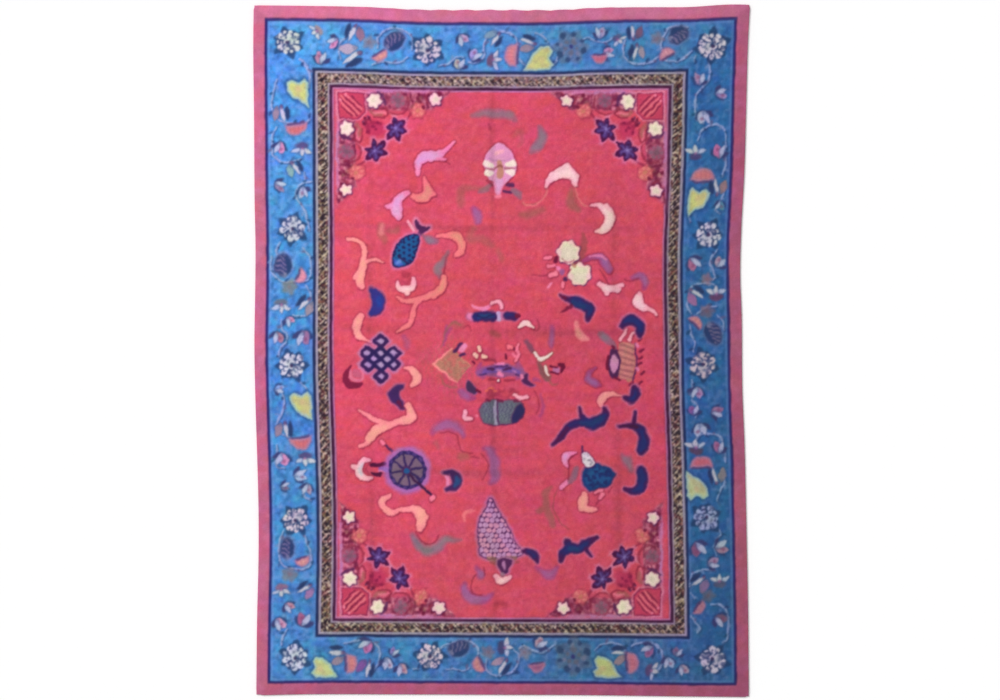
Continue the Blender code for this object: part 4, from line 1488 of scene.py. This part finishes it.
borderVines = [
    # each vine: half width, then x and y along it, in millimetres
    (7, [(-1070, 1550), (-1040, 1510), (-1024, 1460), (-1024, 1400)]),
    (5, [(-1196, 1440), (-1216, 1370), (-1222, 1280), (-1190, 1236), (-1140, 1212), (-1060, 1206),
         (-1020, 1230)]),
    (5, [(-1200, 1188), (-1216, 1140), (-1220, 1080), (-1210, 1034), (-1170, 1006), (-1110, 1004),
         (-1066, 1020)]),
    (4, [(-1046, 950), (-1046, 905)]),
    (5, [(-1016, 895), (-1050, 892), (-1084, 860), (-1088, 820), (-1060, 776), (-1044, 740), (-1030, 690),
         (-1020, 640)]),
    (5, [(-1180, 572), (-1198, 535), (-1196, 510)]),
    (4.5, [(-1224, 500), (-1222, 440), (-1200, 392), (-1150, 366), (-1080, 366), (-1030, 380), (-1012, 430),
           (-1022, 500), (-1060, 552)]),
    (5.5, [(-1036, 350), (-1018, 310), (-1014, 260), (-1018, 206), (-1066, 184), (-1110, 194)]),
    (5, [(-1176, 165), (-1166, 120), (-1140, 88), (-1142, 48), (-1172, 14), (-1180, -30)]),
    (5, [(-1080, -156), (-1056, -184), (-1036, -206)]),
    (5, [(-1164, -226), (-1156, -270), (-1166, -320), (-1188, -360), (-1190, -400), (-1170, -440),
         (-1120, -462)]),
    (5, [(-1192, -500), (-1198, -560), (-1190, -615), (-1150, -625)]),
    (5, [(-1060, -742), (-1050, -772), (-1018, -792)]),
    (5, [(-1160, -962), (-1182, -1010), (-1184, -1080), (-1162, -1132), (-1112, -1156), (-1050, -1160),
         (-1016, -1128), (-1014, -1070), (-1034, -1020), (-1044, -980)]),
    (5, [(-1140, -1478), (-1166, -1520), (-1166, -1566)]),
    (5, [(-478, 1600), (-474, 1650), (-506, 1694), (-560, 1714), (-620, 1700), (-656, 1660), (-662, 1610)]),
    (5, [(-824, 1664), (-858, 1634), (-866, 1590), (-856, 1550)]),
    (5, [(-690, 1520), (-640, 1532), (-560, 1528), (-500, 1560)]),
    (4.5, [(-330, 1514), (-280, 1530), (-240, 1560), (-206, 1556)]),
    (5.5, [(-180, 1536), (-130, 1528), (-98, 1560), (-92, 1622), (-72, 1668), (-20, 1692), (30, 1694),
           (72, 1668), (88, 1620)]),
    (5, [(296, 1560), (278, 1522), (200, 1503), (130, 1512), (98, 1548)]),
    (5, [(180, 1692), (216, 1672), (248, 1640)]),
    (4.5, [(428, 1656), (462, 1664), (510, 1642), (556, 1642), (592, 1664)]),
    (6, [(654, 1650), (648, 1596), (668, 1548), (720, 1526), (790, 1532), (832, 1560)]),
    (5.5, [(990, 1722), (920, 1720), (872, 1700), (850, 1650), (850, 1590), (874, 1548), (930, 1536),
           (974, 1560), (1010, 1590)]),
    (4.5, [(1030, 1570), (1024, 1536)]),
    (5.5, [(1104, 1548), (1104, 1480), (1094, 1430), (1056, 1388), (1030, 1346), (1028, 1280), (1034, 1234),
           (1070, 1210)]),
    (5, [(1040, 1120), (1050, 1156), (1084, 1192), (1134, 1208), (1172, 1190), (1190, 1140), (1190, 1060),
         (1188, 980), (1172, 926)]),
    (4.5, [(1182, 880), (1180, 830), (1158, 790), (1140, 750), (1162, 726)]),
    (4.5, [(1010, 850), (992, 800), (990, 730), (1004, 690)]),
    (5, [(1150, 540), (1116, 506), (1104, 466), (1124, 430), (1140, 396), (1126, 376)]),
    (5, [(1140, 340), (1100, 356), (1050, 354), (1004, 336), (988, 290), (990, 230), (1010, 196)]),
    (5, [(1042, 200), (1086, 234), (1140, 238)]),
    (4, [(1140, 190), (1176, 160), (1186, 110)]),
    (5, [(996, 130), (1006, 84), (1022, 40), (1018, 0)]),
    (5, [(1008, -150), (1010, -196), (1006, -240)]),
    (4.5, [(1010, -258), (1034, -290), (1042, -330), (1032, -360)]),
    (5, [(1028, -484), (1042, -456), (1086, -444), (1146, -446), (1174, -470), (1182, -530), (1190, -590)]),
    (4.5, [(1172, -640), (1182, -690), (1166, -740), (1146, -800)]),
    (4.5, [(1156, -946), (1166, -976), (1146, -1002), (1130, -1040), (1140, -1084)]),
    (4.5, [(998, -1256), (1004, -1206), (1030, -1174), (1080, -1160), (1134, -1166)]),
    (4.5, [(1004, -1290), (1024, -1322)]),
    (5, [(1116, -1350), (1160, -1350), (1190, -1378), (1206, -1440), (1200, -1520), (1172, -1548)]),
    (5, [(1006, -1404), (1030, -1440), (1052, -1472), (1036, -1496)]),
    (5, [(-840, -1552), (-760, -1540), (-690, -1545), (-650, -1590), (-648, -1650), (-676, -1694)]),
    (4, [(-474, -1696), (-440, -1690)]),
    (5, [(-330, -1596), (-300, -1562), (-240, -1545), (-170, -1545), (-128, -1576), (-126, -1616)]),
    (4.5, [(-300, -1692), (-260, -1686), (-206, -1702), (-168, -1688)]),
    (4.5, [(-84, -1640), (-84, -1690), (-54, -1716), (0, -1722), (54, -1712), (86, -1676), (88, -1620),
           (62, -1586), (36, -1560)]),
    (5, [(92, -1580), (122, -1564), (162, -1590), (206, -1602), (246, -1588), (284, -1564)]),
    (4.5, [(500, -1592), (534, -1558), (600, -1550), (650, -1576), (654, -1640)]),
    (5.5, [(690, -1568), (720, -1552), (790, -1552), (838, -1576), (856, -1630), (846, -1680), (820, -1704)]),
]


leafYarns = [(34, 58, 108), (116, 142, 190), (58, 92, 140), (96, 88, 132), (28, 70, 112)]


def vineLeaves(line, number):
    # Small leaves in turn on the two sides of a vine, about every 50 mm.
    run = np.concatenate(([0], np.cumsum(np.hypot(*np.diff(line[:, :2], axis=0).T))))
    for order, station in enumerate(np.arange(0.022, run[-1], 0.047)):
        index = min(max(int(np.searchsorted(run, station)), 1), len(line) - 2)
        heading = degrees(atan2(*(line[index + 1, 1::-1] - line[index - 1, 1::-1])))
        side = 1 if (order + number) % 2 else -1
        place = spot(line[index, 0], line[index, 1], 0.036, heading + 90 + side * 48)
        length = 0.024 + 0.01 * sin(order * 2.4 + number)
        lay(place, petalField(place, 0, length, 0.0075), leafYarns[(3 * order + number) % 5], 0.75, 0.008)


def borderVine(depth):
    # A vine is thinner by a millimetre each side at its two ends, and has a dark shadow to its lower right.
    inBlue = np.abs(depth - 0.197) - 0.108
    for middle, half, strength in ((0.084, 0.006, 0.35), (0.309, 0.007, 0.25)):
        lay(whole, np.abs(depth - middle) - half, (128, 140, 204), strength, 0.008)
    for yarn, size, seed, rare in (((34, 70, 122), 0.019, 72, 0.55), ((136, 152, 200), 0.017, 73, 0.62)):
        lay(whole, both(0.012 * (rare - mottle(size, seed)), inBlue), yarn, 0.35, 0.009)
    for number, (half, points) in enumerate(borderVines):
        ends = (points[0], points[-1])
        rows = inMetres([(x, y, half - ((x, y) in ends)) for x, y in points])
        place = boxRound(rows, 0.02)
        field = strokeField(place, rows)
        lay(place, strokeField(seenFrom(place, 4, -5), rows) - 0.001, (30, 58, 108), 0.7, 0.008)
        lay(place, field - 0.0004, (158, 172, 216), 0.9, 0.006)
        vineLeaves(smoothLine(rows), number)
    for kind, x, y, turn, size, yarn in borderFlowers:
        draw, reach = flowerKinds[kind]
        draw(spot(x / 1000, y / 1000, reach * abs(size), turn, copysign(1, size)), abs(size), yarn)


borderVine(depth)
print("border drawn:", len(borderFlowers), "flowers and", len(borderVines), "vines")


storageFolds = [
    # runs along, where it crosses, height, half width, drift, from, to
    ("y", -0.69, 0.0018, 0.016, 0.005, -1.4, 1.1),
    ("y", -0.025, -0.0014, 0.018, 0.005, -1.6, 1.6),
    ("y", 0.64, 0.0013, 0.02, 0.006, -1.2, 1.5),
    ("x", 0.668, 0.0015, 0.018, 0.007, -1.00, 0.9),
    ("x", 0.11, -0.0012, 0.022, 0.006, -0.9, 1.1),
    ("x", -0.64, 0.001, 0.024, 0.008, -0.9, 0.9),
]


def foldBells(x, y):
    # Each fold is a ridge or trough with a bell-shaped section, along a line that drifts a little and
    # dies away towards its ends.
    bells = []
    for number, (along, station, rise, half, drift, start, end) in enumerate(storageFolds):
        run, cross = (y, x) if along == "y" else (x, y)
        line = station + drift * np.sin(run * 2.3 + number) + drift * 0.5 * np.sin(run * 7.1 + 2 * number)
        fade = (0.65 + 0.35 * np.sin(run * 4.7 + 3 * number))
        fade = fade * np.clip((run - start) / 0.2, 0, 1) * np.clip((end - run) / 0.2, 0, 1)
        bells.append((rise, fade * np.exp(-((cross - line) / half) ** 2)))
    return bells


def mingle(colours):
    # Tufts lean into their neighbours: each knot's colour is shared a little along the rows and across.
    for axis in (0, 1):
        middle = colours.swapaxes(0, axis)
        middle[1:-1] = 0.6 * middle[1:-1] + 0.2 * (middle[:-2] + middle[2:])
    return colours


def foldShade():
    # The bells added up alone, as seen 12 mm to the side of the folds: where the painted shade along each
    # fold lies.
    return sum(bell for rise, bell in foldBells(knotX + 0.012, knotY))


def creaseHeight(x, y):
    # The bells added up, each times its fold's height.
    return sum(rise * bell for rise, bell in foldBells(x, y))


# Real dye variation together with painted light and shade: the slope over the rug and the folds' dark lines
# are painted light and shade, the bands, patches, grain and hue are dye.
dyeAndShade = {
    "level": 0.96,          # all the dyed colours are taken times this
    "across": -0.085,       # painted light: darker from the middle to the right side
    "along": 0.055,         # painted light: lighter from the middle to the top
    "rows": 0.022,          # faint bands along the knot rows
    "patches": 0.03,        # soft patches of stronger and weaker dye
    "grain": 0.035,         # from tuft to tuft
    "hue": 0.035,           # patches that lean to orange or to violet
    "fold": 0.085,          # painted shade along the storage folds
}


def abrashAndShade():
    # Painted light in a slow slope over the rug; real dye in faint bands along the rows, patches and grain;
    # painted shade in the folds' dark lines.
    across, along = knotX / halfWidth, knotY / halfLength
    # painted light: lighter towards the top, darker towards the right
    shade = dyeAndShade["level"] + dyeAndShade["across"] * across + dyeAndShade["along"] * along
    shade += dyeAndShade["rows"] * (0.6 * mottle(0.035, 3, stretch=6) + 0.6 * mottle(0.12, 4, stretch=4))
    shade += dyeAndShade["patches"] * (0.6 * mottle(0.05, 5) + 0.5 * mottle(0.3, 6) + 0.5 * mottle(0.022, 8))
    tufts = np.random.default_rng(7).uniform(-1, 1, shade.shape)
    shade += dyeAndShade["grain"] * (0.5 * tufts + 0.6 * mottle(0.011, 9))
    # painted shade along the folds, a little to one side of each
    shade -= dyeAndShade["fold"] * foldShade()
    lean = dyeAndShade["hue"] * (0.7 * mottle(0.07, 10) + 0.6 * mottle(0.03, 14) + 0.6 * mottle(0.4, 15))
    return shade[..., None] * (1 + lean[..., None] * np.array([-0.2, 1.0, -0.8]))


wool = mingle(wool)
wool *= abrashAndShade()
wool = np.clip(wool, 0, 255)
print("dyes worn")


def toLinear(colour):
    # Screen colours to light: a straight line near black, and a power of 2.4 above it.
    share = colour / 255
    return np.where(share <= 0.04045, share / 12.92, ((share + 0.055) / 1.055) ** 2.4)


def setInputs(node, values):
    # Each named socket of a node gets its value.
    for name, value in values.items():
        node.inputs[name].default_value = value


def addObject(name, content):
    # A new object at the origin, linked to the scene.
    added = bpy.data.objects.new(name, content)
    bpy.context.scene.collection.objects.link(added)
    return added


def pileHeight():
    # Sheared level, rounded over at the rug's edge as a quarter circle, with clipped partings,
    # folds and a little knot-to-knot unevenness, all of which die away at the edge.
    inset = np.min(list(fromSides(knotX, knotY).values()), axis=0)
    bend = np.clip(1 - inset / pile["edgeRound"], 0, 1)
    rounded = pile["edgeRound"] * (np.sqrt(np.clip(1 - bend**2, 0, 1)) - 1)
    away = np.clip(inset / 0.03, 0, 1)
    rough = np.random.default_rng(11).uniform(-1, 1, knotX.shape) * pile["unevenness"]
    swell = 0.0004 * mottle(0.09, 12) + 0.0004 * mottle(0.25, 13)
    height = rugTop + rounded + away * (rough + swell + creaseHeight(knotX, knotY) - pile["groove"] * parting)
    height[[0, -1]] = pile["foot"]
    height[:, [0, -1]] = pile["foot"]
    return height


def smoothNormals(x, y, z):
    # The cross product of the surface's two grid directions at each knot.
    xu, xv = np.gradient(x)
    yu, yv = np.gradient(y)
    zu, zv = np.gradient(z)
    normal = np.stack([yv * zu - zv * yu, zv * xu - xv * zu, xv * yu - yv * xu], -1)
    return normal / np.linalg.norm(normal, axis=-1, keepdims=True)


def gridFaces(rows, columns):
    # One four-sided face for each cell of a grid whose points are numbered row by row.
    corner = (np.arange(rows - 1)[:, None] * columns + np.arange(columns - 1)).ravel()
    return np.stack([corner, corner + 1, corner + columns + 1, corner + columns], -1)


def surfaceMesh(name, points, faces):
    mesh = bpy.data.meshes.new(name)
    mesh.vertices.add(len(points))
    mesh.vertices.foreach_set("co", np.ascontiguousarray(points, np.float32).ravel())
    mesh.loops.add(faces.size)
    mesh.loops.foreach_set("vertex_index", faces.astype(np.int32).ravel())
    mesh.polygons.add(len(faces))
    mesh.polygons.foreach_set("loop_start", np.arange(0, faces.size, 4, dtype=np.int32))
    mesh.update(calc_edges=True)
    mesh.shade_smooth()
    return mesh


def setYarns(mesh, linear):
    # The yarn colours go in as an attribute, one value for each point.
    colours = np.ones((len(linear), 4), np.float32)
    colours[:, :3] = linear
    layer = mesh.attributes.new("yarn", "FLOAT_COLOR", "POINT")
    layer.data.foreach_set("color", colours.ravel())


def bakeMap(mesh, points, faces):
    # The strip's own map: its left half fills the lower half of a square, its right half the upper.
    margin = 0.005
    across = points[:, 0] / rugWidth + 0.5
    along = (points[:, 1] - points[:, 1].min()) / np.ptp(points[:, 1])
    right = np.repeat(points[faces].mean(1)[:, 0] > 0, 4)
    corner = faces.ravel()
    u = margin + (1 - 2 * margin) * (2 * across[corner] - right)
    v = 0.5 * right + margin + (0.5 - 2 * margin) * along[corner]
    layer = mesh.uv_layers.new(name="OFBake")
    layer.data.foreach_set("uv", np.stack([u, v], -1).astype(np.float32).ravel())


def pileStrips(material):
    # The surface is parted at even counts of knot rows; the strips share the rows where they meet.
    realZ = pileHeight()
    for line, inward in ((0, 1), (-1, -1)):
        realX[:, line] += inward * pile["wallSlope"]
        realY[line] += inward * pile["wallSlope"]
    normals = smoothNormals(realX, realY, realZ)
    linear = toLinear(wool)
    breaks = np.linspace(0, len(gridY) - 1, pile["strips"] + 1).astype(int)
    pieces = []
    for number in range(pile["strips"]):
        rows = slice(breaks[number], breaks[number + 1] + 1)
        count = breaks[number + 1] + 1 - breaks[number]
        points = np.stack([realX[rows], realY[rows], realZ[rows]], -1).reshape(-1, 3)
        name = "pileStrip" + str(number + 1)
        faces = gridFaces(count, len(gridX))
        mesh = surfaceMesh(name, points, faces)
        setYarns(mesh, linear[rows].reshape(-1, 3))
        bakeMap(mesh, points, faces)
        mesh.normals_split_custom_set_from_vertices(normals[rows].reshape(-1, 3).tolist())
        mesh.materials.append(material)
        pieces.append(addObject(name, mesh))
    return pieces


backing = {
    "across": 132,              # points across the foundation
    "along": 184,
    "inset": 0.0008,            # how far it stays inside the pile's side wall
    "cotton": (196, 168, 172),  # undyed warp and weft, which mute the colours from behind
    "muted": 0.45,
}


def foundation(material):
    # The woven ground that the knots stand on: a thin closed sheet. The knots' backs show through it
    # underneath, so its colours are the pile's, muted by the cotton.
    x = np.linspace(-halfWidth + backing["inset"], halfWidth - backing["inset"], backing["across"])
    y = np.linspace(-halfLength + backing["inset"], halfLength - backing["inset"], backing["along"])
    shown = wool[np.searchsorted(gridY, y)][:, np.searchsorted(gridX, x)].reshape(-1, 3)
    shown = shown + (np.array(backing["cotton"]) - shown) * backing["muted"]
    flatX, flatY = trueToReal(*np.meshgrid(x, y))
    under = np.stack([flatX, flatY, np.zeros_like(flatX)], -1).reshape(-1, 3)
    count = len(under)
    level = gridFaces(len(y), len(x))
    index = np.arange(count).reshape(len(y), len(x))
    rim = np.concatenate([index[0, :-1], index[:-1, -1], index[-1, :0:-1], index[:0:-1, 0]])
    further = np.roll(rim, -1)
    walls = np.stack([rim, further, further + count, rim + count], -1)
    points = np.vstack([under, under + (0, 0, pile["foot"])])
    mesh = surfaceMesh("foundation", points, np.vstack([level[:, ::-1], level + count, walls]))
    mesh.set_sharp_from_angle(angle=radians(30))
    setYarns(mesh, toLinear(np.vstack([shown, shown])))
    mesh.materials.append(material)
    return addObject("foundation", mesh)


def woolMaterial(name, tuft, nap):
    # Yarn colour, broken up by two noises: one the size of a tuft and one of single fibres. The fibres
    # also raise a fine nap.
    material = bpy.data.materials.new(name)
    material.use_nodes = True
    nodes, links = material.node_tree.nodes, material.node_tree.links
    shader = nodes["Principled BSDF"]
    setInputs(shader, {"Roughness": 0.95, "Sheen Weight": 0.2, "Sheen Roughness": 0.5,
                       "Specular IOR Level": 0.15})
    yarn = nodes.new("ShaderNodeAttribute")
    yarn.attribute_name = "yarn"
    place = nodes.new("ShaderNodeTexCoord")
    values = []
    for size, spread in ((tuft, 0.16), (tuft / 5, 0.12)):
        noise = nodes.new("ShaderNodeTexNoise")
        setInputs(noise, {"Scale": 1 / size, "Detail": 1.0})
        links.new(place.outputs["Object"], noise.inputs["Vector"])
        shade = nodes.new("ShaderNodeMapRange")
        setInputs(shade, {"From Min": 0.25, "From Max": 0.75})
        setInputs(shade, {"To Min": 1 - spread / 2, "To Max": 1 + spread / 2})
        links.new(noise.outputs["Fac"], shade.inputs["Value"])
        values.append((noise, shade))
    both = nodes.new("ShaderNodeMath")
    both.operation = "MULTIPLY"
    for number, (noise, shade) in enumerate(values):
        links.new(shade.outputs["Result"], both.inputs[number])
    tinted = nodes.new("ShaderNodeVectorMath")
    tinted.operation = "SCALE"
    links.new(yarn.outputs["Color"], tinted.inputs["Vector"])
    links.new(both.outputs["Value"], tinted.inputs["Scale"])
    links.new(tinted.outputs["Vector"], shader.inputs["Base Color"])
    bump = nodes.new("ShaderNodeBump")
    setInputs(bump, {"Strength": nap, "Distance": 0.0006})
    links.new(values[1][0].outputs["Fac"], bump.inputs["Height"])
    links.new(bump.outputs["Normal"], shader.inputs["Normal"])
    return material


strips = pileStrips(woolMaterial("woolPile", tuft=0.006, nap=0.35))
print("pile made:", len(gridX) * len(gridY), "knots in", len(strips), "strips")
backSheet = foundation(woolMaterial("knotBacks", tuft=0.004, nap=0.6))
print("foundation made")
for piece in strips + [backSheet]:
    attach(piece, "root")
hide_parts("rug")


def studio():
    # A pale floor just under the rug, even light from all round, a soft sun from the upper left, and
    # the camera straight above.
    reach, level = 40.0, -0.0005
    floorMesh = bpy.data.meshes.new("floor")
    floorMesh.from_pydata([(x * reach, y * reach, level) for x, y in ((-1, -1), (1, -1), (1, 1), (-1, 1))],
                          [], [(0, 1, 2, 3)])
    paint = bpy.data.materials.new("paleFloor")
    paint.use_nodes = True
    nodes = paint.node_tree.nodes
    setInputs(nodes["Principled BSDF"], {"Base Color": (0.98, 0.98, 0.98, 1), "Roughness": 0.9})
    floorMesh.materials.append(paint)
    floor = addObject("floor", floorMesh)
    world = bpy.data.worlds.new("studio")
    world.use_nodes = True
    setInputs(world.node_tree.nodes["Background"], {"Color": (1, 1, 1, 1), "Strength": 0.59})
    bpy.context.scene.world = world
    lamp = bpy.data.lights.new("softKey", "SUN")
    lamp.energy, lamp.angle = 1.96, radians(25)
    addObject("softKey", lamp).rotation_euler = (radians(-28), radians(-38), 0)
    lens = bpy.data.cameras.new("camera")
    lens.lens, lens.sensor_width, lens.clip_end = 85, 36, 100
    frameWidth = 5.3125   # metres across the picture at the pile's top
    camera = addObject("camera", lens)
    camera.location = (-0.0085, 0.004, rugTop + frameWidth * lens.lens / lens.sensor_width)
    bpy.context.scene.camera = camera
    bpy.context.scene.view_settings.view_transform = "Standard"


studio()
